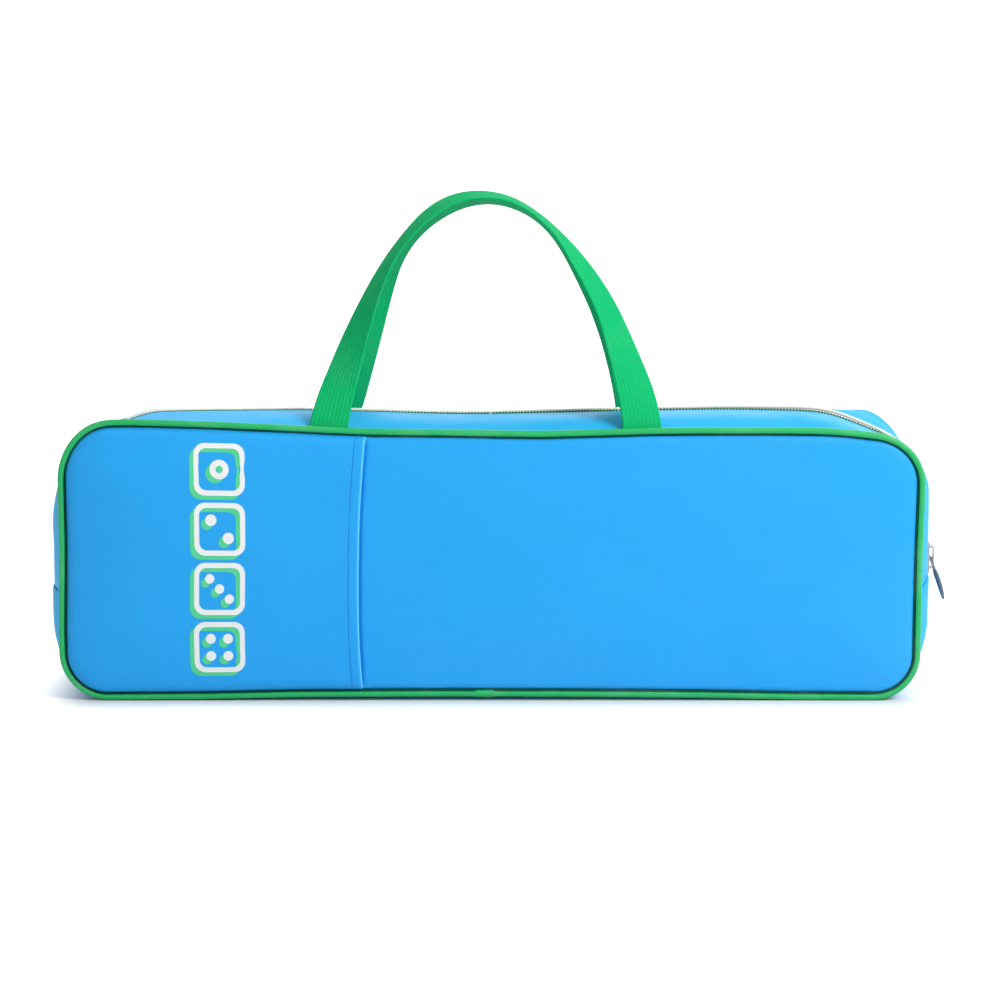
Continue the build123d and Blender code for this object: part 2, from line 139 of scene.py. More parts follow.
def gussetShape(distance, inset):
    f = caseForm
    d = min(abs(distance), f["gussetEdge"])
    swell = float(swellAt(d))
    lift = max(d - f["baseHalfWidth"], 0) / (f["gussetEdge"] - f["baseHalfWidth"])
    lift = lift ** 1.5
    turn = max(abs(distance) - f["gussetEdge"], 0) / (f["gussetEnd"] - f["gussetEdge"])
    tuck = inset + f["lipStart"] * turn
    return (f["halfLength"] + f["endBulge"] * swell - tuck, f["footHeight"] * lift + tuck,
            f["seamTop"] + f["topBulge"] * swell - tuck, f["topSag"] + (f["middleSag"] - f["topSag"]) * swell,
            f["bottomRise"] * lift, [r + ease * swell - tuck for r, ease in zip(f["topRadius"], f["topEase"])],
            [r + ease * swell - tuck for r, ease in zip(f["topRadius"], f["sideEase"])],
            [r + f["lowEase"] * swell - tuck for r in f["lowRadius"]])


# A track value of 0 is the middle of the top edge; 1 to 2 is the right top corner, 2 to 3 the right end,
# 3 to 4 the right bottom corner, 4 to 5 the bottom, and so on round to 9, the middle of the top again.
trackLengths = [235, 80, 95, 60, 480, 60, 95, 80, 235]
endSeamTrack = 2.64


def trackPoints(shape, track):
    half, low, high, sag, rise, topRadii, sideRadii, lowRadii = shape
    mirrored = track > 4.5
    t = np.where(mirrored, 9 - track, track)
    topRadius, sideRadius, lowRadius = (np.where(mirrored, *radii) for radii in (topRadii, sideRadii, lowRadii))
    topTurn = np.arctan(2 * sag * (half - topRadius) / half ** 2)
    lowTurn = np.arctan(2 * rise * (half - lowRadius) / half ** 2)
    topX = half - topRadius - topRadius * np.sin(topTurn)
    topCentre = high - sag * (1 - (topX / half) ** 2) - sideRadius * np.cos(topTurn)
    lowX = half - lowRadius - lowRadius * np.sin(lowTurn)
    lowCentre = low + rise * (1 - (lowX / half) ** 2) + lowRadius * np.cos(lowTurn)
    angleTop = (math.pi / 2 + topTurn) * (2 - t)
    angleLow = -(math.pi / 2 + lowTurn) * (t - 3)
    along = topX * t
    under = lowX * (1 - 2 * (t - 4))
    choices = [t < 1, t < 2, t < 3, t < 4]
    x = np.select(choices, [along, half - topRadius + topRadius * np.cos(angleTop), half + 0 * t,
                            half - lowRadius + lowRadius * np.cos(angleLow)], under)
    z = np.select(choices, [high - sag * (1 - (along / half) ** 2), topCentre + sideRadius * np.sin(angleTop),
                            topCentre + (lowCentre - topCentre) * (t - 2), lowCentre + lowRadius * np.sin(angleLow)],
                  low + rise * (1 - (under / half) ** 2))
    return np.where(mirrored, -x, x), z


def trackStations(first, last, step):
    # track values with about even steps in millimetres
    lengths = np.concatenate([[0], np.cumsum(trackLengths)])
    a, b = np.interp([first, last], range(10), lengths)
    return np.interp(np.linspace(a, b, max(int(round((b - a) / step)), 2) + 1), lengths, range(10))


def gussetGrid(track, distances, inset):
    # rows across the gusset at each distance from the middle plane, columns along the track
    insets = np.broadcast_to(inset, (len(distances),))
    onTop = smoothStep((1.04 - track) / 0.22) + smoothStep((track - 7.9) / 0.3)
    rows = []
    for distance, tuck in zip(distances, insets):
        x, z = trackPoints(gussetShape(distance, tuck), track)
        z = z - caseForm["backDip"] * onTop * smoothStep((distance - 4) / 12) * smoothStep((48 - distance) / 9)
        # the strip puffs up behind the zip at the right top corner
        puff = 5.7 * np.exp(-((track - 1.24) / np.where(track < 1.24, 0.24, 0.38)) ** 2)
        puff = puff * smoothStep((distance - 8) / 22) * smoothStep((49 - distance) / 8)
        rows.append(np.stack([x + 0.2 * puff, np.full_like(x, distance), z + 0.9 * puff], -1))
    return settle(np.array(rows))


def softNoise(points, size, seed=0.0):
    # one smooth value per point, from about -1 to 1
    shift = Vector((seed * 7.3, seed * 3.1, seed * 5.7))
    return np.array([noise.noise(Vector(p) / size + shift) for p in points.reshape(-1, 3)]).reshape(points.shape[:-1])


# ---------------------------------------------------------------- mesh helpers
def makeMesh(name, points, faces, uv=None, material=None):
    mesh = bpy.data.meshes.new(name)
    mesh.from_pydata((np.asarray(points).reshape(-1, 3) / 1000).tolist(), [], faces)
    if uv is not None:
        layer = mesh.uv_layers.new(name="thread")
        corners = np.zeros(len(mesh.loops), np.int32)
        mesh.loops.foreach_get("vertex_index", corners)
        layer.data.foreach_set("uv", (np.asarray(uv).reshape(-1, 2)[corners] / 1000).ravel().astype(np.float32))
    mesh.update()
    mesh.polygons.foreach_set("use_smooth", [True] * len(mesh.polygons))
    piece = bpy.data.objects.new(name, mesh)
    bpy.context.scene.collection.objects.link(piece)
    if material:
        mesh.materials.append(material)
    return piece


def gridFaces(rows, columns, closeRows=False, closeColumns=False, start=0, flip=False):
    faces = []
    for r in range(rows if closeRows else rows - 1):
        for c in range(columns if closeColumns else columns - 1):
            a, b = r * columns + c, r * columns + (c + 1) % columns
            d, e = (r + 1) % rows * columns + c, (r + 1) % rows * columns + (c + 1) % columns
            face = (a, d, e, b) if flip else (a, b, e, d)
            faces.append(tuple(v + start for v in face))
    return faces


def gridUv(grid):
    # distance along the columns and along the rows, in millimetres
    along = np.concatenate([[0], np.cumsum(np.linalg.norm(np.diff(grid[len(grid) // 2], axis=0), axis=1))])
    middle = grid[:, grid.shape[1] // 2]
    across = np.concatenate([[0], np.cumsum(np.linalg.norm(np.diff(middle, axis=0), axis=1))])
    return np.stack(np.meshgrid(along, across), -1)


def gridPiece(name, grid, material, flip=False):
    return makeMesh(name, grid, gridFaces(*grid.shape[:2], flip=flip), gridUv(grid), material)


def thicken(piece, thickness, offset=-1.0):
    # cloth thickness under a sheet, its cut edges kept crisp
    mesh = piece.data
    edges = np.zeros(len(mesh.loops), np.int32)
    mesh.loops.foreach_get("edge_index", edges)
    rim = np.bincount(edges, minlength=len(mesh.edges)) == 1
    mesh.attributes.new("sharp_edge", "BOOLEAN", "EDGE").data.foreach_set("value", rim)
    solid = piece.modifiers.new("thickness", "SOLIDIFY")
    solid.thickness, solid.offset, solid.use_even_offset = thickness / 1000, offset, False
    return piece


def finish(piece, body, slot, *nodes):
    if body:
        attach(piece, body)
    if nodes:
        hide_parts(*nodes)
    return piece


def stitchRow(name, line, normal, material, pitch=3.2, length=2.6, radius=0.24, sink=0.2):
    # short threads that dip into the cloth at both ends
    along = np.concatenate([[0], np.cumsum(np.linalg.norm(np.diff(line, axis=0), axis=1))])

    def at(values, where):
        return np.stack([np.interp(where, along, values[:, k]) for k in range(3)], -1)

    starts = np.arange(pitch / 2, along[-1] - length, pitch)
    steps = np.array([0.0, 0.12, 0.35, 0.65, 0.88, 1.0])
    angles = np.arange(6) * math.pi / 3
    points, faces = [], []
    for start in starts:
        where = start + steps * length
        out = at(normal, where)
        centre = at(line, where) + out * (radius - sink + 0.9 * sink * np.sin(steps * math.pi))[:, None]
        onward = np.gradient(centre, axis=0)
        onward /= np.linalg.norm(onward, axis=1)[:, None]
        across = np.cross(out, onward)
        thick = radius * np.array([0.5, 0.85, 1.0, 1.0, 0.85, 0.5])
        ring = centre[:, None] + (across[:, None] * np.cos(angles)[None, :, None] + out[:, None] * np.sin(angles)[None, :, None]) * thick[:, None, None]
        base = len(points) * len(steps) * 6
        points.append(ring)
        faces += gridFaces(len(steps), 6, closeColumns=True, start=base)
        faces += [tuple(base + k for k in range(5, -1, -1)), tuple(base + (len(steps) - 1) * 6 + k for k in range(6))]
    points = np.concatenate(points)
    uv = np.stack([np.repeat(np.arange(len(points)) * 0.5, 6), np.tile(angles * radius, len(points))], -1)
    return makeMesh(name, points, faces, uv, material)


def sweepTube(name, line, outward, side, radii, sides, material, closed=True, shape=None):
    # a tube round a line; shape gives a radius factor for each angle and station
    angles = np.arange(sides) * 2 * math.pi / sides
    radius = np.broadcast_to(radii, (len(line),))
    factor = np.ones((len(line), sides)) if shape is None else shape
    points = (line[:, None] + (outward[:, None] * np.cos(angles)[None, :, None] + side[:, None] * np.sin(angles)[None, :, None])
              * (radius[:, None] * factor)[..., None])
    along = np.concatenate([[0], np.cumsum(np.linalg.norm(np.diff(line, axis=0), axis=1))])
    uv = np.stack(np.broadcast_arrays(along[:, None], (angles * radius.mean())[None, :]), -1)
    turned = np.cross(outward[0], side[0]) @ (line[1] - line[0]) < 0
    return makeMesh(name, points, gridFaces(len(line), sides, closeRows=closed, closeColumns=True, flip=turned), uv, material)


# ---------------------------------------------------------------- material helpers
def newNode(tree, kind, sockets=None, **settings):
    made = tree.nodes.new(kind)
    for key, value in settings.items():
        setattr(made, key, value)
    for key, value in (sockets or {}).items():
        if isinstance(value, bpy.types.NodeSocket):
            tree.links.new(value, made.inputs[key])
        else:
            made.inputs[key].default_value = value
    return made


def newGroup(name, inputs, outputs):
    group = bpy.data.node_groups.new(name, "ShaderNodeTree")
    kinds = {"Color": "NodeSocketColor", "Vector": "NodeSocketVector"}
    for label, value in inputs.items():
        socket = group.interface.new_socket(label, in_out="INPUT", socket_type=kinds.get(value if isinstance(value, str) else "", "NodeSocketFloat"))
        if not isinstance(value, str):
            socket.default_value = value
    for label, kind in outputs.items():
        group.interface.new_socket(label, in_out="OUTPUT", socket_type=kinds.get(kind, "NodeSocketFloat"))
    return group, group.nodes.new("NodeGroupInput"), group.nodes.new("NodeGroupOutput")


def maths(tree, operation, a, b=0.5, c=0.0):
    made = newNode(tree, "ShaderNodeMath", operation=operation)
    for index, value in enumerate((a, b, c)):
        if isinstance(value, bpy.types.NodeSocket):
            tree.links.new(value, made.inputs[index])
        else:
            made.inputs[index].default_value = value
    return made.outputs[0]


def mixColour(tree, factor, a, b, blend="MIX"):
    made = newNode(tree, "ShaderNodeMix", data_type="RGBA", blend_type=blend)
    for socket, value in ((made.inputs[0], factor), (made.inputs[6], a), (made.inputs[7], b)):
        if isinstance(value, bpy.types.NodeSocket):
            tree.links.new(value, socket)
        else:
            socket.default_value = value
    return made.outputs[2]


def rgb(red, green, blue):
    # a colour given as it is seen on screen, 0 to 255
    def linear(v):
        v /= 255
        return v / 12.92 if v <= 0.04045 else ((v + 0.055) / 1.055) ** 2.4
    return (linear(red), linear(green), linear(blue), 1.0)


def buildToneGroup():
    # slow changes of shade over a surface, as dye and handling leave them
    group, given, result = newGroup("toneDrift", {"Color": "Color", "Drift": 0.06, "Size": 90.0}, {"Color": "Color", "Mask": "Float"})
    where = newNode(group, "ShaderNodeTexCoord").outputs["Object"]
    scale = maths(group, "DIVIDE", 1000.0, given.outputs["Size"])
    broad = newNode(group, "ShaderNodeTexNoise", {"Vector": where, "Scale": scale, "Detail": 2.0, "Roughness": 0.45}).outputs["Fac"]
    fine = newNode(group, "ShaderNodeTexNoise", {"Vector": where, "Scale": maths(group, "MULTIPLY", scale, 7.0), "Detail": 3.0}).outputs["Fac"]
    both = maths(group, "ADD", maths(group, "MULTIPLY", broad, 0.75), maths(group, "MULTIPLY", fine, 0.25))
    amount = maths(group, "MULTIPLY", maths(group, "SUBTRACT", both, 0.5), maths(group, "MULTIPLY", given.outputs["Drift"], 4.0))
    darker = mixColour(group, maths(group, "MAXIMUM", maths(group, "MULTIPLY", amount, -1.0), 0.0), given.outputs["Color"], (0, 0, 0, 1))
    lighter = mixColour(group, maths(group, "MAXIMUM", amount, 0.0), darker, (1, 1, 1, 1))
    group.links.new(lighter, result.inputs["Color"])
    group.links.new(both, result.inputs["Mask"])
    return group


def buildGrainGroup():
    # fine pebbled skin of coated fabric
    group, given, result = newGroup("coatGrain", {"Pitch": 0.6, "Depth": 1.0}, {"Height": "Float", "Mask": "Float"})
    where = newNode(group, "ShaderNodeTexCoord").outputs["Object"]
    scale = maths(group, "DIVIDE", 1000.0, given.outputs["Pitch"])
    cells = newNode(group, "ShaderNodeTexVoronoi", {"Vector": where, "Scale": scale}, feature="SMOOTH_F1").outputs["Distance"]
    broad = newNode(group, "ShaderNodeTexNoise", {"Vector": where, "Scale": maths(group, "MULTIPLY", scale, 0.11), "Detail": 3.0}).outputs["Fac"]
    height = maths(group, "ADD", maths(group, "MULTIPLY", cells, -0.6), maths(group, "MULTIPLY", broad, 0.9))
    group.links.new(maths(group, "MULTIPLY", height, given.outputs["Depth"]), result.inputs["Height"])
    group.links.new(broad, result.inputs["Mask"])
    return group


def buildWeaveGroup():
    # over and under threads, from the piece's own thread map
    group, given, result = newGroup("threadWeave", {"Along": 1.0, "Across": 1.0, "Slant": 0.0, "Fuzz": 0.2},
                                    {"Height": "Float", "Mask": "Float"})
    where = newNode(group, "ShaderNodeUVMap", uv_map="thread").outputs["UV"]
    parts = newNode(group, "ShaderNodeSeparateXYZ", {"Vector": where})
    u = maths(group, "DIVIDE", maths(group, "MULTIPLY", parts.outputs["X"], 1000.0), given.outputs["Along"])
    v = maths(group, "DIVIDE", maths(group, "MULTIPLY", parts.outputs["Y"], 1000.0), given.outputs["Across"])
    u = maths(group, "ADD", u, maths(group, "MULTIPLY", v, given.outputs["Slant"]))
    warp = maths(group, "ABSOLUTE", maths(group, "SINE", maths(group, "MULTIPLY", u, math.pi)))
    weft = maths(group, "ABSOLUTE", maths(group, "SINE", maths(group, "MULTIPLY", v, math.pi)))
    turn = maths(group, "MODULO", maths(group, "ADD", maths(group, "FLOOR", u), maths(group, "FLOOR", v)), 2.0)
    turn = maths(group, "ABSOLUTE", turn)
    over = maths(group, "ADD", maths(group, "MULTIPLY", warp, maths(group, "SUBTRACT", 1.0, turn)), maths(group, "MULTIPLY", weft, turn))
    place = newNode(group, "ShaderNodeTexCoord").outputs["Object"]
    fuzz = newNode(group, "ShaderNodeTexNoise", {"Vector": place, "Scale": 2600.0, "Detail": 2.0}).outputs["Fac"]
    height = maths(group, "ADD", over, maths(group, "MULTIPLY", fuzz, given.outputs["Fuzz"]))
    group.links.new(height, result.inputs["Height"])
    group.links.new(over, result.inputs["Mask"])
    return group


def buildMarksGroup():
    # faint streaks and rubbed patches that handling leaves
    group, given, result = newGroup("handlingMarks", {"Size": 14.0, "Stretch": 5.0}, {"Mask": "Float"})
    where = newNode(group, "ShaderNodeTexCoord").outputs["Object"]
    parts = newNode(group, "ShaderNodeSeparateXYZ", {"Vector": where})
    tilted = maths(group, "ADD", parts.outputs["X"], maths(group, "MULTIPLY", parts.outputs["Z"], 0.6))
    turned = newNode(group, "ShaderNodeCombineXYZ", {"X": tilted, "Y": parts.outputs["Y"],
                                                     "Z": maths(group, "MULTIPLY", parts.outputs["Z"], given.outputs["Stretch"])})
    scale = maths(group, "DIVIDE", 1000.0, given.outputs["Size"])
    streaks = newNode(group, "ShaderNodeTexNoise", {"Vector": turned.outputs["Vector"], "Scale": scale, "Detail": 5.0,
                                                    "Roughness": 0.65}).outputs["Fac"]
    patches = newNode(group, "ShaderNodeTexNoise", {"Vector": where, "Scale": maths(group, "MULTIPLY", scale, 0.3)}).outputs["Fac"]
    both = maths(group, "MULTIPLY", streaks, patches)
    mask = newNode(group, "ShaderNodeMapRange", {"Value": both, "From Min": 0.26, "From Max": 0.42}).outputs["Result"]
    group.links.new(mask, result.inputs["Mask"])
    return group


toneGroup, grainGroup, weaveGroup, marksGroup = buildToneGroup(), buildGrainGroup(), buildWeaveGroup(), buildMarksGroup()


def startMaterial(name):
    material = bpy.data.materials.new(name)
    material.use_nodes = True
    return material, material.node_tree, material.node_tree.nodes["Principled BSDF"]


def placeGroup(tree, group, sockets):
    return newNode(tree, "ShaderNodeGroup", sockets, node_tree=group)


def ranged(tree, value, low, high):
    return newNode(tree, "ShaderNodeMapRange", {"Value": value, "To Min": low, "To Max": high}).outputs["Result"]


def dimmed(colour, amount):
    return tuple(v * amount for v in colour[:3]) + (1.0,)


def coatedMaterial(name, colour, drift=0.05, size=110.0, grain=0.55, depth=0.00006, rough=(0.46, 0.6), specular=0.3, coat=0.0):
    material, tree, shader = startMaterial(name)
    tone = placeGroup(tree, toneGroup, {"Color": colour, "Drift": drift, "Size": size})
    skin = placeGroup(tree, grainGroup, {"Pitch": grain, "Depth": 1.0})
    marks = placeGroup(tree, marksGroup, {"Size": 16.0, "Stretch": 4.0})
    rubbed = mixColour(tree, maths(tree, "MULTIPLY", marks.outputs["Mask"], 0.05), tone.outputs["Color"], dimmed(colour, 0.55))
    bump = newNode(tree, "ShaderNodeBump", {"Height": skin.outputs["Height"], "Strength": 0.5, "Distance": depth})
    tree.links.new(rubbed, shader.inputs["Base Color"])
    worn = maths(tree, "ADD", ranged(tree, skin.outputs["Mask"], *rough), maths(tree, "MULTIPLY", marks.outputs["Mask"], 0.07))
    tree.links.new(worn, shader.inputs["Roughness"])
    tree.links.new(bump.outputs["Normal"], shader.inputs["Normal"])
    shader.inputs["Specular IOR Level"].default_value = specular
    if coat:
        shader.inputs["Coat Weight"].default_value = coat
        shader.inputs["Coat Roughness"].default_value = 0.3
    return material


def highlightedFoldMaterial(name, colour, pale):
    # coated fabric with a painted highlight along its folded edge; the mesh says where
    material = coatedMaterial(name, colour, drift=0.014, size=200.0, grain=0.5, depth=0.00005)
    tree = material.node_tree
    shader = tree.nodes["Principled BSDF"]
    foldHighlight = newNode(tree, "ShaderNodeAttribute", attribute_name="foldHighlight").outputs["Fac"]
    plain = shader.inputs["Base Color"].links[0].from_socket
    tree.links.new(mixColour(tree, foldHighlight, plain, pale), shader.inputs["Base Color"])
    return material


def wovenMaterial(name, colour, shade, along, across, slant=0.0, drift=0.04, depth=0.00015, rough=(0.66, 0.84), specular=0.2):
    material, tree, shader = startMaterial(name)
    tone = placeGroup(tree, toneGroup, {"Color": colour, "Drift": drift, "Size": 35.0})
    cloth = placeGroup(tree, weaveGroup, {"Along": along, "Across": across, "Slant": slant, "Fuzz": 0.25})
    # painted shade: where the threads dip under, the darker shade colour stands in for the shadow between them
    pale = mixColour(tree, cloth.outputs["Mask"], shade, tone.outputs["Color"])
    bump = newNode(tree, "ShaderNodeBump", {"Height": cloth.outputs["Height"], "Strength": 0.8, "Distance": depth})
    tree.links.new(pale, shader.inputs["Base Color"])
    tree.links.new(ranged(tree, cloth.outputs["Mask"], rough[1], rough[0]), shader.inputs["Roughness"])
    tree.links.new(bump.outputs["Normal"], shader.inputs["Normal"])
    shader.inputs["Specular IOR Level"].default_value = specular
    return material


def metalMaterial(name, colour, shade, metallic=1.0, rough=(0.16, 0.34), coat=0.0):
    material, tree, shader = startMaterial(name)
    tone = placeGroup(tree, toneGroup, {"Color": colour, "Drift": 0.05, "Size": 9.0})
    marks = placeGroup(tree, marksGroup, {"Size": 2.5, "Stretch": 7.0})
    skin = placeGroup(tree, grainGroup, {"Pitch": 0.16, "Depth": 1.0})
    rubbed = mixColour(tree, maths(tree, "MULTIPLY", marks.outputs["Mask"], 0.35), tone.outputs["Color"], shade)
    bump = newNode(tree, "ShaderNodeBump", {"Height": skin.outputs["Height"], "Strength": 0.3, "Distance": 0.00002})
    tree.links.new(rubbed, shader.inputs["Base Color"])
    tree.links.new(ranged(tree, marks.outputs["Mask"], *rough), shader.inputs["Roughness"])
    tree.links.new(bump.outputs["Normal"], shader.inputs["Normal"])
    shader.inputs["Metallic"].default_value = metallic
    if coat:
        shader.inputs["Coat Weight"].default_value = coat
        shader.inputs["Coat Roughness"].default_value = 0.2
    return material


# ---------------------------------------------------------------- camera, floor and light
studio = {
    "eye": (0.0065, -1.75, 0.384),
    "pitch": 8.4,  # degrees down
    "fieldOfView": 21.48,
    "keyPower": 37.0,
    "fillPower": 3.0,
    "topPower": 6.0,
    "backPower": 10.0,
    "roomLight": 0.36,
    "floorColour": rgb(240, 240, 241),
    "floorLift": 0.78,
    "nearShade": 0.05,  # how far round the case its own shade stays plain, in metres
}


def makeStudio():
    camera = bpy.data.objects.new("camera", bpy.data.cameras.new("camera"))
    bpy.context.scene.collection.objects.link(camera)
    camera.location = studio["eye"]
    camera.rotation_euler = (math.radians(90 - studio["pitch"]), 0, 0)
    camera.data.sensor_width = 36.0
    camera.data.lens = 18.0 / math.tan(math.radians(studio["fieldOfView"] / 2))
    camera.data.clip_start, camera.data.clip_end = 0.01, 100.0
    bpy.context.scene.camera = camera

    # floor that turns up into a backdrop all round, far enough out to stay behind every view
    reach = np.array([0.0, 0.4, 0.8, 1.4, 2.2, 3.2, 4.2, 5.2, 6.0, 6.6, 6.9, 7.0])
    rise = np.array([0.0, 0.0, 0.0, 0.0, 0.0, 0.0, 0.05, 0.3, 0.9, 1.9, 3.2, 5.0])
    angles = np.arange(96) * 2 * math.pi / 96
    rings = np.stack([reach[1:, None] * np.cos(angles), reach[1:, None] * np.sin(angles), rise[1:, None] + 0 * angles], -1)
    points = np.concatenate([rings.reshape(-1, 3), [[0, 0, 0]]]) * 1000
    faces = gridFaces(len(rings), 96, closeColumns=True, flip=True)
    faces += [(len(points) - 1, c, (c + 1) % 96) for c in range(96)]
    material, tree, shader = startMaterial("studioFloor")
    grain = newNode(tree, "ShaderNodeTexNoise", {"Scale": 3.0, "Detail": 2.0}).outputs["Fac"]
    tree.links.new(mixColour(tree, maths(tree, "MULTIPLY", grain, 0.02), studio["floorColour"], (0.8, 0.8, 0.8, 1)), shader.inputs["Base Color"])
    shader.inputs["Roughness"].default_value = 0.9
    shader.inputs["Specular IOR Level"].default_value = 0.1
    # the lift fades out under and round the case, and grows to full white far out
    place = newNode(tree, "ShaderNodeSeparateXYZ", {"Vector": newNode(tree, "ShaderNodeTexCoord").outputs["Object"]})
    sideways = maths(tree, "MAXIMUM", maths(tree, "SUBTRACT", maths(tree, "ABSOLUTE", place.outputs["X"]), 0.26), 0.0)
    deep = maths(tree, "MAXIMUM", maths(tree, "SUBTRACT", maths(tree, "ABSOLUTE", place.outputs["Y"]), 0.05), 0.0)
    away = maths(tree, "SQRT", maths(tree, "ADD", maths(tree, "MULTIPLY", sideways, sideways), maths(tree, "MULTIPLY", deep, deep)))
    near = newNode(tree, "ShaderNodeMapRange", {"Value": away, "From Max": studio["nearShade"], "To Max": studio["floorLift"]},
                   interpolation_type="SMOOTHSTEP").outputs["Result"]
    far = newNode(tree, "ShaderNodeMapRange", {"Value": away, "From Min": 0.5, "From Max": 3.0, "To Max": 1.0 - studio["floorLift"]},
                  interpolation_type="SMOOTHSTEP").outputs["Result"]
    seen = newNode(tree, "ShaderNodeLightPath")
    direct = maths(tree, "MAXIMUM", seen.outputs["Is Camera Ray"], maths(tree, "MAXIMUM", seen.outputs["Is Glossy Ray"], seen.outputs["Is Transmission Ray"]))
    tree.links.new(maths(tree, "MULTIPLY", direct, maths(tree, "ADD", near, far)), shader.inputs["Emission Strength"])
    shader.inputs["Emission Color"].default_value = (1, 1, 1, 1)
    floor = makeMesh("studioFloor", points, faces, material=material)

    world = bpy.data.worlds.new("studioRoom")
    bpy.context.scene.world = world
    world.use_nodes = True
    tree = world.node_tree
    seen = newNode(tree, "ShaderNodeLightPath")
    direct = maths(tree, "MAXIMUM", seen.outputs["Is Camera Ray"], maths(tree, "MAXIMUM", seen.outputs["Is Glossy Ray"], seen.outputs["Is Transmission Ray"]))
    strength = newNode(tree, "ShaderNodeMapRange", {"Value": direct, "To Min": studio["roomLight"], "To Max": 1.0}).outputs["Result"]
    tree.links.new(strength, tree.nodes["Background"].inputs["Strength"])
    tree.nodes["Background"].inputs["Color"].default_value = (1, 1, 1, 1)

    def softLight(name, place, aim, size, power):
        light = bpy.data.lights.new(name, "AREA")
        light.shape, light.size, light.size_y, light.energy = "RECTANGLE", size[0], size[1], power
        lamp = bpy.data.objects.new(name, light)
        bpy.context.scene.collection.objects.link(lamp)
        lamp.location = place
        lamp.rotation_euler = (Vector(aim) - Vector(place)).to_track_quat("-Z", "Y").to_euler()

    softLight("keyLight", (1.35, -1.25, 1.5), (0.05, 0, 0.12), (1.0, 1.0), studio["keyPower"])
    softLight("fillLight", (-1.9, -1.5, 0.9), (0, 0, 0.1), (1.2, 1.2), studio["fillPower"])
    softLight("topLight", (0.2, 0.1, 2.0), (0, 0, 0.1), (1.8, 1.0), studio["topPower"])
    softLight("backLight", (0.4, 2.1, 1.2), (0, 0, 0.15), (1.6, 1.0), studio["backPower"])
    bpy.context.scene.view_settings.view_transform = "Standard"


makeStudio()
print("studio ready")

# ---------------------------------------------------------------- finishes
finishes = {
    "panelBlue": rgb(33, 170, 246),
    # painted highlight for the pocket's folded edge
    "foldHighlightBlue": rgb(120, 222, 255),
    "gussetBlue": rgb(38, 186, 250),
    "pipingGreen": rgb(22, 182, 98),
    # painted shade: the flange in the groove beside the piping gets this dark green
    "flangeShadeGreen": rgb(6, 84, 60),
    "webbingGreen": rgb(16, 212, 128),
    "webbingShade": rgb(6, 150, 84),
    "printWhite": rgb(246, 248, 246),
    "printMint": rgb(84, 216, 152),
    "liningBlue": rgb(70, 150, 214),
    "liningShade": rgb(44, 108, 172),
    "tapeWhite": rgb(252, 252, 247),
    "tapeShade": rgb(226, 226, 218),
    "coilCream": rgb(255, 254, 248),
    "bindingBlue": rgb(28, 78, 140),
    "bindingShade": rgb(14, 44, 92),
    "threadBlue": rgb(30, 156, 240),
    "threadGreen": rgb(22, 150, 92),
    "foamGrey": rgb(226, 226, 220),
    "cordWhite": rgb(228, 226, 216),
    "cordShade": rgb(176, 172, 158),
    "boardBrown": rgb(98, 82, 66),
    "nickel": rgb(150, 152, 158),
    "nickelShade": rgb(84, 86, 92),
    "slate": rgb(62, 92, 116),
    "slateShade": rgb(30, 48, 64),
}
panelMaterial = coatedMaterial("satinBlue", finishes["panelBlue"], drift=0.014, size=200.0, grain=0.5, depth=0.00005)
pocketMaterial = highlightedFoldMaterial("pocketHighlightBlue", finishes["panelBlue"], finishes["foldHighlightBlue"])
gussetMaterial = coatedMaterial("gussetBlue", finishes["gussetBlue"], drift=0.02, size=120.0, grain=0.5, depth=0.00005, specular=0.2)
pipingMaterial = coatedMaterial("pipingGreen", finishes["pipingGreen"], drift=0.06, size=30.0, grain=0.45, depth=0.00005, rough=(0.36, 0.5), specular=0.4)
flangeShadeMaterial = coatedMaterial("flangeShadeGreen", finishes["flangeShadeGreen"], drift=0.05, size=30.0, rough=(0.7, 0.8), specular=0.1)
webbingMaterial = wovenMaterial("webbingGreen", finishes["webbingGreen"], finishes["webbingShade"], 0.95, 1.27, slant=0.35, depth=0.0002, specular=0.12)
liningMaterial = wovenMaterial("liningBlue", finishes["liningBlue"], finishes["liningShade"], 0.45, 0.45)
tapeMaterial = wovenMaterial("tapeWhite", finishes["tapeWhite"], finishes["tapeShade"], 0.7, 0.7, slant=1.0)
bindingMaterial = wovenMaterial("bindingBlue", finishes["bindingBlue"], finishes["bindingShade"], 0.6, 0.6)
cordMaterial = wovenMaterial("cordWhite", finishes["cordWhite"], finishes["cordShade"], 1.4, 0.9, slant=1.2, depth=0.0003)
blueThread = wovenMaterial("threadBlue", finishes["threadBlue"], dimmed(finishes["threadBlue"], 0.85), 0.4, 0.3, slant=1.0, rough=(0.4, 0.55), specular=0.4)
greenThread = wovenMaterial("threadGreen", finishes["threadGreen"], dimmed(finishes["threadGreen"], 0.6), 0.4, 0.3, slant=1.0, rough=(0.4, 0.55), specular=0.4)
coilMaterial = coatedMaterial("coilCream", finishes["coilCream"], drift=0.05, size=14.0, grain=0.3, depth=0.00001, rough=(0.3, 0.42), specular=0.5)
whiteInk = coatedMaterial("printWhite", finishes["printWhite"], drift=0.02, size=40.0, grain=0.4, depth=0.00003, rough=(0.42, 0.52))
mintInk = coatedMaterial("printMint", finishes["printMint"], drift=0.03, size=40.0, grain=0.4, depth=0.00003, rough=(0.42, 0.52))
foamMaterial = coatedMaterial("foamGrey", finishes["foamGrey"], drift=0.05, size=20.0, grain=0.9, depth=0.0004, rough=(0.85, 0.95), specular=0.1)
boardMaterial = coatedMaterial("boardBrown", finishes["boardBrown"], drift=0.12, size=12.0, grain=0.8, depth=0.00015, rough=(0.72, 0.86), specular=0.2)
nickelMaterial = metalMaterial("nickel", finishes["nickel"], finishes["nickelShade"])
slateMaterial = metalMaterial("slate", finishes["slate"], finishes["slateShade"], metallic=0.35, rough=(0.28, 0.44), coat=0.4)
print("finishes ready")

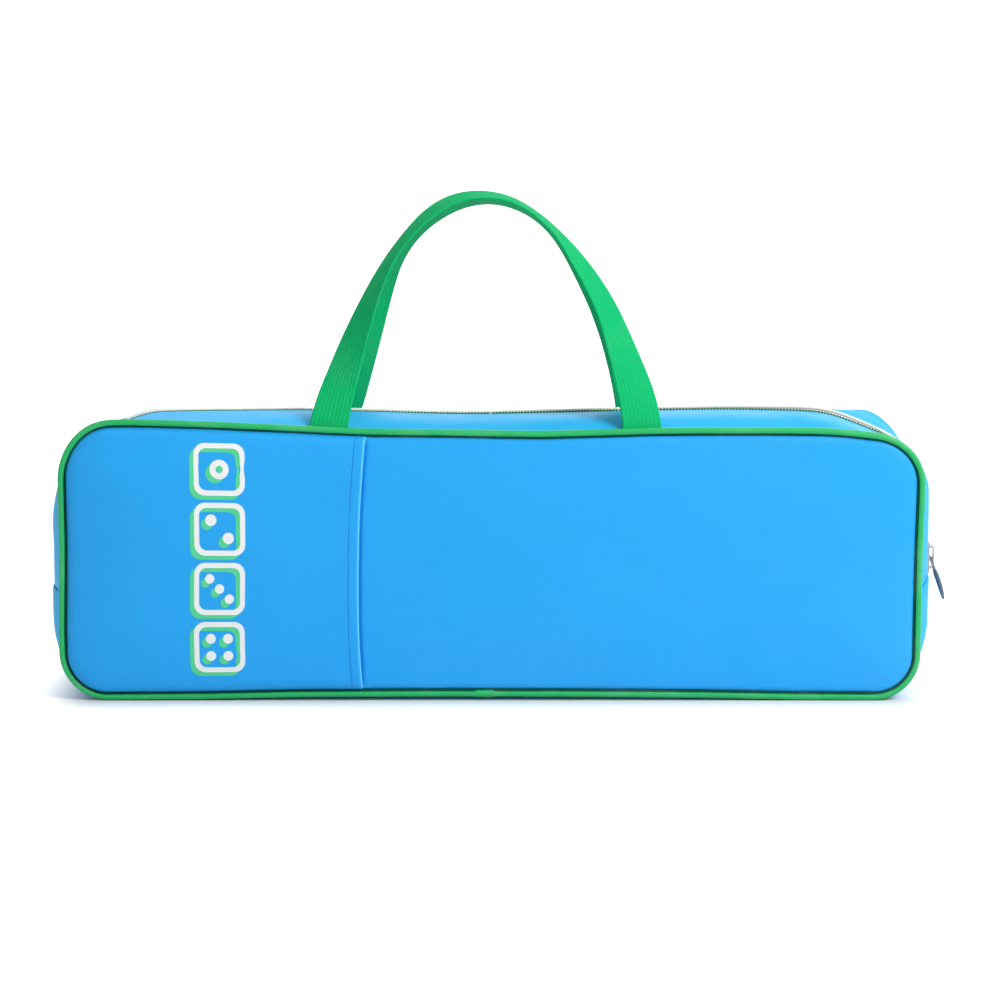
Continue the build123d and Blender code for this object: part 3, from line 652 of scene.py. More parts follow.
# ---------------------------------------------------------------- faces
faceForm = {
    "front": [(2.9, 49.2), (3.3, 49.5), (3.6, 50.2), (3.9, 51.0), (4.4, 51.6), (5.4, 52.0), (8.0, 52.5), (14.0, 53.2), (24.0, 54.2), (34.0, 55.1), (48.0, 56.1), (62.0, 56.5), (90.0, 56.7)],
    "step": 3.6,
    "edge": [(2.9, 2.6), (3.3, 2.7), (3.6, 2.7), (3.9, 2.8), (4.4, 2.8), (5.6, 2.9), (7.2, 3.1), (9.5, 3.3), (12.5, 3.5), (16.0, 3.6), (20.0, 3.6)],
}


def insetAt(x, z):
    # how far inside the seam a point lies, before settling
    f = caseForm
    top = f["seamTop"] - f["topSag"] * (1 - (x / f["halfLength"]) ** 2) - z
    low = z - f["footHeight"] - f["bottomRise"] * (1 - (x / f["halfLength"]) ** 2)
    end = f["halfLength"] - np.abs(x)
    r = np.where(top < low, np.where(x < 0, *f["topRadius"]), np.where(x < 0, *f["lowRadius"]))
    near = np.minimum(top, low)
    corner = r - np.hypot(np.maximum(r - end, 0), np.maximum(r - near, 0))
    return np.where((end < r) & (near < r), corner, np.minimum(end, near))


def easedCrown(pairs):
    x = np.arange(0.0, 120.0, 0.1)
    y = np.interp(x, *zip(*pairs))
    blurred = np.convolve(np.pad(y, 40, mode="edge"), np.hanning(81) / np.hanning(81).sum(), mode="valid")
    soft = np.interp(x, (4.0, 14.0), (0.0, 1.0))
    y = y * (1 - soft) + blurred * soft
    return lambda at: np.interp(at, x, y)


def undulation(x, z, seed, amount):
    # slow waves of the padded face, and short puckers that run in from the seam
    flat = np.stack([x, 0 * x, z], -1)
    inset = insetAt(x, z)
    wide = softNoise(flat * [0.7, 1, 1.0], 95.0, seed) * 1.1 + softNoise(flat * [0.8, 1, 1.6], 48.0, seed + 1) * 0.45
    f = caseForm
    along = np.where(np.minimum(f["halfLength"] - np.abs(x), 1e9) < np.minimum(f["seamTop"] - z, z - f["footHeight"]), z, x)
    pucker = softNoise(np.stack([along, 0 * along, 0 * along], -1), 9.0, seed + 2) * np.exp(-np.maximum(inset - 3, 0) / 9.0)
    return amount * (wide * smoothStep((inset - 4) / 40) + 0.28 * pucker * smoothStep((inset - 2.6) / 2.5))


def faceLayout(rim, lines=()):
    # points in the plane of a face: rings that follow the seam, then an even field with any finer lines in it
    rings, points = [], []
    for inset, step in [pair for pair in faceForm["edge"] if pair[0] >= rim]:
        track = trackStations(0, 9, step)[:-1]
        x, z = trackPoints(seamShape(inset), track)
        rings.append(len(x))
        points.append(np.stack([x, z], -1))
    step = faceForm["step"]
    field = []
    for row, z in enumerate(np.arange(caseForm["footHeight"], caseForm["seamTop"], step * 0.87)):
        x = np.arange(-caseForm["halfLength"], caseForm["halfLength"], step) + (row % 2) * step / 2
        field.append(np.stack([x, z + 0 * x], -1))
    field = np.concatenate(field)
    last = [pair for pair in faceForm["edge"] if pair[0] >= rim][-1][0]
    field = field[insetAt(field[:, 0], field[:, 1]) > last + 1.6]
    if len(lines):
        lines = lines[insetAt(lines[:, 0], lines[:, 1]) > rim + 0.4]
        beside = field[:, 0] - pocketEdge(field[:, 1])
        field = field[(beside < -4.5) | (beside > 5.5)]
        points = [ring[np.hypot(*(ring[:, None] - lines[None]).transpose(2, 0, 1)).min(1) > 0.35] if k else ring for k, ring in enumerate(points)]
        points.append(lines)
    points = np.concatenate(points + [field])
    rim = [(i, (i + 1) % rings[0]) for i in range(rings[0])]
    kept, _, faces, *_ = geometry.delaunay_2d_cdt([Vector(p) for p in points], rim, [], 1, 1e-6)
    return np.array([tuple(p) for p in kept]), [tuple(f) for f in faces]


pocketForm = {
    "edge": [(-80.5, 181.0), (-86.0, 92.0), (-83.0, 3.0)],  # folded edge, top to bottom
    "columns": [0.0, 0.12, 0.35, 0.7, 1.2, 2.0, 3.2, 4.4, 5.2, 5.9, 6.6, 7.3, 8.0, 9.2, 10.6, 12.0, 14.0],  # in from the fold
    "rows": 120,
    "fabric": 1.3,
    "hem": 13.0,  # width turned under
    "stitch": 6.6,  # topstitching, in from the fold
    "standOff": 2.95,
    "dent": 1.15,  # how far the fold presses into the padded face
}


def pocketEdge(z):
    (x0, z0), (x1, z1), (x2, z2) = pocketForm["edge"]
    t = (z - z1) / (z0 - z1)
    return x1 + (x0 - x1) * np.maximum(t, 0) ** 2 + (x2 - x1) * np.maximum(-t, 0) ** 2


def pocketDent(x, z):
    return pocketForm["dent"] * np.exp(-((x - pocketEdge(z) + 0.1) / 1.5) ** 2) * smoothStep((insetAt(x, z) - 3.5) / 5)


frontCrown = easedCrown(faceForm["front"])


def faceProud(x, z, side, back=0.0):
    # height of a padded face over the middle plane; back is how far behind it a layer lies
    seed, amount = (1.0, 1.0) if side < 0 else (5.0, 1.2)
    proud = frontCrown(insetAt(x, z)) - back + undulation(x, z, seed, amount)
    return proud - pocketDent(x, z) if side < 0 else proud


def facePiece(name, layout, material, side, back=0.0):
    flat, faces = layout
    x, z = flat[:, 0], flat[:, 1]
    points = settle(np.stack([x, side * faceProud(x, z, side, back), z], -1))
    return makeMesh(name, points, faces if side < 0 else [f[::-1] for f in faces], flat, material)


dentLines = [[(pocketEdge(z) + beside, z) for z in np.arange(4.0, 180.0, 3.0)] for beside in (-3.2, -1.6, -0.5, 0.2, 0.8, 1.4, 2.1, 3.0, 4.2)]
fullFace = faceLayout(2.9)
frontPanel = facePiece("frontPanel", faceLayout(2.9, np.array(dentLines).reshape(-1, 2)), panelMaterial, -1)
thicken(frontPanel, 1.2)
backPanel = facePiece("backPanel", fullFace, panelMaterial, 1)
thicken(backPanel, 1.2)
for panel, node in ((frontPanel, "front_panel"), (backPanel, "back_panel")):
    finish(panel, "case", "coated_fabric", node)


def closedPad(name, layout, outer, inner, side, material):
    # a pad between two distances from the middle plane, closed round its rim
    flat, faces = layout
    x, z, count = flat[:, 0], flat[:, 1], len(flat)
    points = np.concatenate([settle(np.stack([x, side * d, z], -1)) for d in (outer, inner)])
    edges = {(a, b) for face in faces for a, b in zip(face, face[1:] + face[:1])}
    every = faces + [tuple(v + count for v in face[::-1]) for face in faces]
    every += [(b, a, a + count, b + count) for a, b in sorted(edges) if (b, a) not in edges]
    if side > 0:
        every = [face[::-1] for face in every]
    return makeMesh(name, points, every, np.concatenate([flat, flat + 700]), material)


padForm = {"foam": 4.0, "rim": 12.5, "roll": 3.5, "backing": 1.35, "liningGap": 5.85}
foamLayout, liningLayout = faceLayout(padForm["rim"]), faceLayout(9.5)
for side, word in ((-1, "front"), (1, "back")):
    flat = foamLayout[0]
    x, z = flat[:, 0], flat[:, 1]
    crown = faceProud(x, z, side)
    rolled = np.sqrt(1 - (1 - np.clip((insetAt(x, z) - padForm["rim"] + 0.4) / padForm["roll"], 0, 1)) ** 2)
    middle = crown - padForm["backing"] - padForm["foam"] / 2
    pad = closedPad(word + "Foam", foamLayout, middle + rolled * padForm["foam"] / 2, middle - rolled * padForm["foam"] / 2, side, foamMaterial)
    finish(pad, "case", "foam", word + "_foam")
    lining = facePiece(word + "Lining", liningLayout, liningMaterial, side, padForm["liningGap"])
    thicken(lining, 0.5)
    finish(lining, "case", "lining", word + "_lining")
print("faces ready")

# ---------------------------------------------------------------- slip pocket
def panelProud(x, z):
    return frontCrown(insetAt(x, z)) + undulation(x, z, 1.0, 1.0)


def pocketProud(x, z):
    # the pocket lies on the panel, a little loose, with a sewn channel beside its fold
    away = pocketEdge(z) - x
    inset = insetAt(x, z)
    loose = smoothStep((inset - 3) / 26) * (0.5 + 0.9 * smoothStep((away - 14) / 60))
    ripple = softNoise(np.stack([x * 0.6, 0 * x, z], -1), 34.0, 8.0) * 0.35 * smoothStep((inset - 6) / 30)
    channel = np.exp(-((away - pocketForm["stitch"]) / 1.1) ** 2) * (0.12 + 0.12 * softNoise(np.stack([0 * z, 0 * z, z], -1), 2.6, 9.0))
    pucker = softNoise(np.stack([x * 0.15, 0 * x, z], -1), 6.5, 10.0) * 0.16 * np.exp(-np.abs(away - pocketForm["stitch"]) / 6.0)
    standOff = 0.5 + 0.85 * smoothStep((inset - 3.1) / 1.6) + (pocketForm["standOff"] - 1.35) * smoothStep((inset - 2.6) / 7)
    return panelProud(x, z) + standOff + loose + ripple - channel + pucker


def pocketColumn(away):
    # points down one line beside the folded edge, from the top seam to the bottom one
    f = caseForm
    t = np.linspace(0, 1, pocketForm["rows"])
    z = f["seamTop"] - 4 - t * 170
    for _ in range(4):
        x = pocketEdge(z) - away
        dip = 1 - (x / f["halfLength"]) ** 2
        top, low = f["seamTop"] - f["topSag"] * dip - 2.8, f["footHeight"] + f["bottomRise"] * dip + 2.8
        z = top + (low - top) * t
    return np.stack([pocketEdge(z) - away, z], -1)


def makePocket():
    p = pocketForm
    columns = [pocketColumn(away) for away in p["columns"]]
    rings = []
    for inset, step in faceForm["edge"]:
        x, z = trackPoints(seamShape(inset), trackStations(4.5, 9, step))
        keep = x < pocketEdge(z) - p["columns"][-1] - 1.5
        rings.append(np.stack([x, z], -1)[keep])
    flat, _ = fullFace
    field = flat[(insetAt(flat[:, 0], flat[:, 1]) > faceForm["edge"][-1][0] + 1.6)
                 & (flat[:, 0] < pocketEdge(flat[:, 1]) - p["columns"][-1] - 1.8)]
    tops = np.array([c[0] for c in columns[1:]])
    lows = np.array([c[-1] for c in columns[1:]])
    outline = np.concatenate([columns[0][::-1], tops, rings[0][::-1], lows[::-1]])
    points = np.concatenate([outline] + [c[1:-1] for c in columns[1:]] + rings[1:] + [field])
    count = len(outline)
    kept, _, faces, *_ = geometry.delaunay_2d_cdt([Vector(v) for v in points], [(i, (i + 1) % count) for i in range(count)],
                                                  [], 1, 1e-6)
    flat = np.array([tuple(v) for v in kept])
    faces = [tuple(face) for face in faces]
    x, z = flat[:, 0], flat[:, 1]
    radius = p["fabric"]
    away = np.clip((pocketEdge(z) - x) / radius, 0, 1)
    proud = pocketProud(x, z) - radius * (1 - np.sqrt(1 - (1 - away) ** 2))
    face = settle(np.stack([x, -proud, z], -1))
    # the fold turns under and ends inside as a hem
    under = np.concatenate([np.array(p["columns"][:5]), np.arange(2.5, p["hem"] + 0.1, 1.5)])
    hem = []
    for away in under[1:]:
        line = pocketColumn(away)
        drop = radius * (1 + math.sqrt(1 - (1 - min(away / radius, 1)) ** 2))
        hem.append(settle(np.stack([line[:, 0], -(pocketProud(line[:, 0], line[:, 1]) - drop), line[:, 1]], -1)))
    first = columns[0]
    fold = settle(np.stack([first[:, 0], -(pocketProud(first[:, 0], first[:, 1]) - radius), first[:, 1]], -1))
    hem = np.array([fold] + hem)
    hemFaces = gridFaces(*hem.shape[:2], start=len(face))
    hemUv = np.stack([np.tile(first[:, 1], (len(under), 1)), np.tile(under[:, None] + 400, (1, len(first)))], -1)
    points = np.concatenate([face, hem.reshape(-1, 3)])
    uv = np.concatenate([flat, hemUv.reshape(-1, 2)])
    piece = makeMesh("pocketPanel", points, faces + hemFaces, uv, pocketMaterial)
    fromFold = np.concatenate([pocketEdge(z) - x, np.repeat(under, len(first))])
    # painted highlight: strongest on the folded edge, gone a millimetre or so in from it
    foldHighlight = piece.data.attributes.new("foldHighlight", "FLOAT", "POINT")
    foldHighlight.data.foreach_set("value", (0.85 * np.exp(-(fromFold / 0.75) ** 2)).astype(np.float32))
    weld = piece.modifiers.new("weld", "WELD")
    weld.merge_threshold = 0.00002
    thicken(piece, 0.5)
    return finish(piece, "case", "coated_fabric", "pocket_panel")


pocketPanel = makePocket()


def makeTopstitch():
    line = pocketColumn(pocketForm["stitch"])[::-1]
    away = pocketProud(line[:, 0], line[:, 1])
    points = settle(np.stack([line[:, 0], -away, line[:, 1]], -1))
    out = np.tile([0.0, -1.0, 0.0], (len(points), 1))
    piece = stitchRow("pocketTopstitch", points, out, blueThread, pitch=3.5, length=2.9)
    return finish(piece, "case", "coated_fabric")


pocketTopstitch = makeTopstitch()
print("pocket ready")

# ---------------------------------------------------------------- printed ornament on the pocket
printForm = {
    "middleX": -176.0,
    "middleZ": 94.5,
    "size": 33.0,  # of one rounded square
    "pitch": 37.5,
    "corner": 7.0,
    "stroke": 3.2,
    "shadow": (-2.8, -2.6),
    "pips": [[(0.0, 0.0, 6.2)], [(-5.6, 5.6, 3.6), (5.6, -5.6, 3.6)], [(-6.4, 6.4, 3.0), (0.0, 0.0, 3.0), (6.4, -6.4, 3.0)],
             [(-5.6, 5.6, 3.2), (5.6, 5.6, 3.2), (-5.6, -5.6, 3.2), (5.6, -5.6, 3.2)]],
}


def roundedSquare(half, corner, count=9):
    points = []
    for quarter in range(4):
        turn = math.pi / 2 * quarter + np.linspace(0, math.pi / 2, count)
        sx, sz = (1, -1, -1, 1)[quarter], (1, 1, -1, -1)[quarter]
        points += [(sx * (half - corner) + corner * math.cos(a), sz * (half - corner) + corner * math.sin(a)) for a in turn]
    return np.array(points)


def printShapes(offset):
    # closed outlines and the holes in them, one set for each filled shape
    p = printForm
    shapes = []
    for row, pips in enumerate(p["pips"]):
        middle = np.array([p["middleX"], p["middleZ"] + (1.5 - row) * p["pitch"]]) + offset
        half = p["size"] / 2
        shapes.append((middle + roundedSquare(half, p["corner"]), middle + roundedSquare(half - p["stroke"], p["corner"] - p["stroke"] + 1)))
        for dx, dz, radius in pips:
            angles = np.linspace(0, 2 * math.pi, 29)[:-1]
            circle = np.stack([np.cos(angles), np.sin(angles)], -1)
            hole = middle + [dx, dz] + circle * radius * 0.38 if radius > 5 else None
            shapes.append((middle + [dx, dz] + circle * radius, hole))
    return shapes


def insideLoop(point, loop):
    x, y = loop.T
    nextX, nextY = np.roll(x, -1), np.roll(y, -1)
    crossed = (y > point[1]) != (nextY > point[1])
    at = x + (point[1] - y) / np.where(crossed, nextY - y, 1.0) * (nextX - x)
    return (crossed & (at > point[0])).sum() % 2 == 1


def printedPiece(name, shapes, lift, material):
    points, faces, base = [], [], 0
    for outline, hole in shapes:
        loops = [outline] + ([hole] if hole is not None else [])
        low, high = outline.min(0), outline.max(0)
        field = np.stack(np.meshgrid(np.arange(low[0], high[0], 2.1), np.arange(low[1], high[1], 2.1)), -1).reshape(-1, 2)
        every = np.concatenate(loops + [field])
        edges, start = [], 0
        for loop in loops:
            edges += [(start + k, start + (k + 1) % len(loop)) for k in range(len(loop))]
            start += len(loop)
        kept, _, filled, *_ = geometry.delaunay_2d_cdt([Vector(v) for v in every], edges, [], 1, 1e-5)
        kept = np.array([tuple(v) for v in kept])
        if hole is not None:
            filled = [face for face in filled if not insideLoop(kept[list(face)].mean(0), hole)]
        points.append(kept)
        faces += [tuple(v + base for v in face) for face in filled]
        base += len(kept)
    flat = np.concatenate(points)
    x, z = flat[:, 0], flat[:, 1]
    piece = makeMesh(name, settle(np.stack([x, -(pocketProud(x, z) + lift), z], -1)), faces, flat, material)
    thicken(piece, 0.3)
    return finish(piece, "case", "coated_fabric")


printShadow = printedPiece("pocketPrintShadow", printShapes(np.array(printForm["shadow"])), 0.14, mintInk)
printFace = printedPiece("pocketPrint", printShapes(np.zeros(2)), 0.24, whiteInk)
print("print ready")

# ---------------------------------------------------------------- piping
pipingForm = {"radius": 2.2, "cordRadius": 1.8, "step": 2.2, "sides": 16, "joinAt": 4.505, "joinLength": 11.0}


def seamLine(side, inset=0.0, step=2.2, first=0, last=9):
    track = trackStations(first, last, step)
    if (first, last) == (0, 9):
        track = track[:-1]
    x, z = trackPoints(seamShape(inset), track)
    return track, settle(np.stack([x, np.full_like(x, side * caseForm["halfDepth"]), z], -1))


def ringFrame(line):
    onward = np.roll(line, -1, axis=0) - np.roll(line, 1, axis=0)
    onward /= np.linalg.norm(onward, axis=1)[:, None]
    outward = np.cross(onward, [0.0, -1.0, 0.0])
    return outward / np.linalg.norm(outward, axis=1)[:, None]


def makePiping(side, name, node):
    track, line = seamLine(side, step=pipingForm["step"])
    outward = ringFrame(line)
    across = np.tile([0.0, float(side), 0.0], (len(line), 1))
    rough = softNoise(line, 7.0, 2.0) * 0.045 + softNoise(line, 30.0, 3.0) * 0.05
    join = np.abs(np.arange(len(line)) - np.searchsorted(track, pipingForm["joinAt"])) * pipingForm["step"]
    sleeve = 0.28 * (1 - smoothStep((join - pipingForm["joinLength"] / 2) / 1.2))
    piece = sweepTube(name, line, outward, across, pipingForm["radius"] + rough + sleeve, pipingForm["sides"], pipingMaterial)
    return finish(piece, "case", "piping", node)


def seamGrid(side, pairs, track):
    # rows round the seam, each at its own inset and distance from the middle plane
    rows = []
    for inset, distance in pairs:
        x, z = trackPoints(seamShape(inset), track)
        rows.append(np.stack([x, np.full_like(x, side * distance), z], -1))
    return settle(np.array(rows))


def seamBand(name, side, pairs, material, thickness, slot, *nodes):
    grid = seamGrid(side, pairs, trackStations(0, 9, 3.0)[:-1])
    uv = gridUv(grid)
    piece = makeMesh(name, grid, gridFaces(*grid.shape[:2], closeColumns=True, flip=side > 0), uv, material)
    thicken(piece, thickness)
    return finish(piece, "case", slot, *nodes)


def makeCord(side, name, node):
    # twisted filler cord inside the piping
    track, line = seamLine(side, step=2.2)
    angles, stations = np.arange(12) * math.pi / 6, np.arange(len(line))
    strands = 1 + 0.09 * np.cos(3 * (angles[None] - stations[:, None] * 0.35))
    piece = sweepTube(name, line, ringFrame(line), np.tile([0.0, float(side), 0.0], (len(line), 1)), pipingForm["cordRadius"], 12,
                      cordMaterial, shape=strands * 0.92)
    return finish(piece, "case", "piping_core", node)


bindingPairs = [(7.2, 51.0), (8.3, 51.05), (9.1, 50.9), (9.45, 50.4), (9.5, 49.5), (9.45, 48.6), (9.1, 48.1), (8.3, 47.95), (7.2, 48.0)]
flangePairs = [(1.3, 51.3), (1.9, 50.75), (2.5, 50.2), (3.1, 49.7), (3.7, 49.2), (4.6, 49.0), (6.5, 49.4)]
for side, word in ((-1, "front"), (1, "back")):
    makePiping(side, word + "Piping", word + "_piping_cover")
    makeCord(side, word + "PipingCord", word + "_piping_cord")
    # dark green band in the groove between piping and panel: the groove's shadow painted on
    seamBand(word + "Flange", side, flangePairs, flangeShadeMaterial, 0.35, "piping")
    seamBand(word + "SeamBinding", side, bindingPairs, bindingMaterial, 0.35, "binding_tape", word + "_seam_binding")
print("piping ready")

# ---------------------------------------------------------------- handle shape
strapForm = {
    "width": 25.4,
    "thickness": 1.7,
    "ribs": 10,
    "ribHeight": 0.28,
    "stations": 190,
    "feet": (-106.4, 98.4),
    "hingeHeight": 177.102,
    "rise": 152.0,
    "baseY": 46.3,
    "topY": 12.74,
    # the two edges as they are seen from the front: outer x and z, inner x and z
    "front": [(-119.1, 167.0, -93.7, 167.0), (-119.4, 175.0, -93.4, 175.0), (-118.6, 181.0, -92.4, 181.5),
              (-114.2, 197.1, -88.6, 200.6), (-107.1, 214.6, -83.9, 220.3), (-99.5, 232.6, -79.2, 239.3),
              (-90.4, 251.5, -74.3, 256.7), (-79.9, 271.1, -69.2, 272.9), (-68.8, 289.2, -62.2, 289.3),
              (-55.9, 305.8, -51.4, 303.4), (-42.9, 320.3, -37.6, 316.5), (-25.6, 330.2, -21.3, 325.8),
              (-4.7, 332.2, -4.1, 328.8), (15.0, 327.9, 14.1, 326.1), (31.4, 317.5, 30.6, 316.4),
              (47.0, 304.2, 43.5, 303.2), (61.2, 289.4, 52.6, 286.5), (73.6, 273.0, 61.8, 270.5),
              (84.3, 255.0, 69.5, 254.3), (92.5, 237.0, 74.8, 235.4), (100.8, 218.4, 79.3, 217.0),
              (108.1, 200.4, 83.4, 197.6), (111.6, 181.0, 86.4, 181.0), (111.7, 175.0, 86.2, 175.0),
              (111.1, 167.0, 85.7, 167.0)],
    "back": [(-118.2, 167.0, -92.8, 167.0), (-116.4, 175.5, -91.0, 175.0), (-112.8, 186.0, -88.0, 182.5),
             (-107.3, 204.4, -83.6, 197.7), (-101.8, 221.2, -78.8, 215.0), (-95.2, 237.8, -74.2, 232.4),
             (-87.3, 254.3, -69.7, 249.8), (-77.1, 270.2, -65.4, 267.2), (-66.0, 287.0, -60.0, 284.4),
             (-54.0, 303.0, -49.9, 299.3), (-39.5, 315.9, -36.3, 311.2), (-22.8, 325.6, -20.4, 319.8),
             (-3.1, 328.6, -2.8, 323.8), (16.0, 324.4, 14.9, 320.6), (32.8, 314.9, 30.9, 312.1),
             (47.1, 301.8, 43.3, 299.1), (59.8, 287.4, 52.0, 283.3), (70.7, 272.2, 60.0, 267.2),
             (80.9, 256.6, 67.5, 250.8), (90.3, 239.1, 73.6, 233.9), (99.1, 221.7, 78.5, 216.6),
             (106.0, 203.9, 82.6, 199.0), (110.0, 186.0, 85.6, 182.4), (110.8, 175.5, 86.0, 175.0),
             (111.1, 167.0, 85.7, 167.0)],
}

# ---------------------------------------------------------------- gusset
gussetForm = {
    "step": 3.0,
    "rows": [48.9, 48.6, 48.1, 47.5, 46.9, 46.2, 45.3, 44.0, 42.2, 40.0, 37.5, 34.5, 31.0, 27.0, 22.5, 18.0, 13.5, 9.0],
    "zipEdge": 4.75,
    "waves": 0.7,
    "seamDip": 0.9,
}


def gussetWaves(grid, seed):
    # soft creases, mostly where the ends swell
    waves = softNoise(grid * [1, 0.8, 1], 55.0, seed) * 0.9 + softNoise(grid * [1, 0.6, 1.3], 21.0, seed + 1) * 0.3
    calm = smoothStep((48.3 - np.abs(grid[..., 1])) / 9) * smoothStep(grid[..., 2] / 14)
    calm = calm * (0.3 + 0.7 * smoothStep((np.abs(grid[..., 1]) - 5) / 14))  # the zip keeps the middle even
    middle = np.array([0.0, 0.0, 90.0])
    away = grid - middle
    away[..., 1] = 0
    away /= np.linalg.norm(away, axis=-1)[..., None]
    return grid + away * (waves * calm * gussetForm["waves"])[..., None]


def behindStraps(grid):
    # the strips pass behind the sewn feet of the handles
    x, y = grid[..., 0], grid[..., 1]
    beside = np.minimum(np.abs(x - strapForm["feet"][0]), np.abs(x - strapForm["feet"][1]))
    near = smoothStep((16.0 - beside) / 2.2)
    depth = np.abs(y)
    pressed = np.where(depth > 42.5, 42.5 + (depth - 42.5) * 0.4, depth)
    grid[..., 1] = np.sign(y) * (depth + (pressed - depth) * near)
    return grid


def seamStations(first, last, atFirst, atLast):
    # even stations with finer ones beside a seam at either end
    fine = np.array([0.45, 0.95, 1.5, 2.2]) / 95
    track = trackStations(first, last, gussetForm["step"])
    if atFirst:
        track = np.concatenate([track[:1], first + fine, track[1:]])
    if atLast:
        track = np.concatenate([track[:-1], last - fine[::-1], track[-1:]])
    return track


def sinkAtSeam(grid, track, seams):
    # the cloth turns in where two pieces of the gusset are sewn together
    deep = sum(gussetForm["seamDip"] * np.exp(-(np.abs(track - seam) * 95 / 1.1) ** 1.6) for seam in seams)
    grid[..., 0] -= np.sign(grid[..., 0]) * deep
    return grid


def gussetCloth(name, rows, insets, first, last, seams, material, flip=False, dented=False):
    track = seamStations(first, last, first in seams, last in seams)
    grid = gussetWaves(gussetGrid(track, rows, insets), 4.0)
    if dented:
        grid = behindStraps(grid)
    else:
        # the lower ends swell out level with the zip strips above them
        grid[..., 0] += np.sign(grid[..., 0]) * 1.1 * smoothStep((grid[..., 2] - 22) / 34) * smoothStep((46 - np.abs(grid[..., 1])) / 14)
    return gridPiece(name, sinkAtSeam(grid, track, seams), material, flip=flip)


endSeams = (endSeamTrack, 9 - endSeamTrack)
halves = [(side, word, end, place, first, last) for side, word in ((-1, "front"), (1, "back"))
          for end, place, first, last in ((1, "Right", 0.0, endSeams[0]), (-1, "Left", endSeams[1], 9.0))]


def blendHalf(piece):
    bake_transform(piece)


half = gussetForm["rows"] + [4.5]
rows = [-d for d in half] + [0.0] + half[::-1]
bottomGusset = gussetCloth("bottomGusset", rows, 0.0, *endSeams, endSeams, gussetMaterial)
thicken(bottomGusset, 1.2)
finish(bottomGusset, "case", "gusset_fabric", "bottom_gusset")

liningRows = [47.4, 46.4, 44.5, 42.0, 38.5, 34.0, 29.0, 24.0, 19.0, 14.0]
rows = [-d for d in liningRows] + [-7.0, 0.0, 7.0] + liningRows[::-1]
bottomLining = gussetCloth("bottomLining", rows, 2.2, *endSeams, (), liningMaterial)
thicken(bottomLining, 0.4)
finish(bottomLining, "case", "lining", "bottom_lining")

edge = gussetForm["zipEdge"]
stripRows = gussetForm["rows"] + [edge + 2.4, edge + 1.2, edge + 0.5, edge + 0.12, edge, edge + 0.12, edge + 0.5, edge + 1.2, edge + 3.0, edge + 7.0]
stripInsets = np.array([0.0] * len(gussetForm["rows"]) + [0.0, 0.0, 0.05, 0.3, 0.65, 1.0, 1.25, 1.3, 1.3, 1.3])
for side, word, end, place, first, last in halves:
    strip = gussetCloth(word + place + "Strip", [side * d for d in stripRows], stripInsets, first, last, endSeams, gussetMaterial,
                        flip=side > 0, dented=True)
    thicken(strip, 0.55)
    blendHalf(strip)
    finish(strip, None, "gusset_fabric", "zip_gusset", word + "_flap")
    lining = gussetCloth(word + place + "ZipLining", [side * d for d in liningRows + [10.0, 7.4]], 2.3, first, last, (), liningMaterial,
                         flip=side > 0, dented=True)
    thicken(lining, 0.4)
    blendHalf(lining)
    finish(lining, None, "lining", "end_linings", word + "_flap_lining")
print("gusset ready")

# ---------------------------------------------------------------- zip
zipForm = {
    "tapeRows": [12.0, 9.0, 7.0, 5.6, 4.9, 4.4, 3.9, 3.3, 2.6, 1.9, 1.2, 0.7],  # distances from the middle
    "tapeLow": [-1.38] * 12,  # height where the tape lies flat
    "tapeHigh": [-1.38, -1.38, -1.38, -1.38, -1.2, -0.45, 0.4, 1.1, 1.5, 1.6, 1.6, 1.6],  # height where it stands up, over the top
    "tape": 0.45,
    "pitch": 1.34,
    "wire": 0.42,
    "core": 0.5,  # stuffer cord that the loops are wound round
    "reach": 1.45,  # half width of one coil loop
    "offset": 1.05,  # coil centre from the middle
    "parted": 2.17,  # the same where the slider's post runs between the rows
    "loop": 0.57,  # half height of one coil loop
    "low": -0.42,
    "high": 2.5,
    "stitchOut": 5.15,
    "stand": [(0, 0.42), (0.5, 0.55), (0.7, 0.65), (0.95, 0.85), (1.15, 1.0), (1.35, 0.85), (1.7, 0.0), (7.4, 0.0), (7.9, 0.25), (8.7, 0.34), (9, 0.42)],
}


def zipStand(track):
    # how far the zip stands up: most at the right top corner, not at all down the ends
    return np.interp(track, *zip(*zipForm["stand"]))


def zipLine(first, last, step=1.0):
    track = trackStations(first, last, step)
    line = gussetWaves(gussetGrid(track, [0.0], 0.0), 4.0)[0]
    onward = np.gradient(line, axis=0)
    onward /= np.linalg.norm(onward, axis=1)[:, None]
    outward = np.cross(onward, [0.0, 1.0, 0.0])
    return track, line, outward / np.linalg.norm(outward, axis=1)[:, None]


def makeTape(name, side, first, last):
    z = zipForm
    track, _, outward = zipLine(first, last, 2.5)
    grid = gussetWaves(gussetGrid(track, [side * d for d in z["tapeRows"]], 0.0), 4.0)
    stand = zipStand(track)
    height = np.array(z["tapeLow"])[:, None] * (1 - stand) + np.array(z["tapeHigh"])[:, None] * stand
    grid = grid + outward[None] * height[..., None]
    piece = gridPiece(name, grid, tapeMaterial, flip=side > 0)
    return thicken(piece, z["tape"])


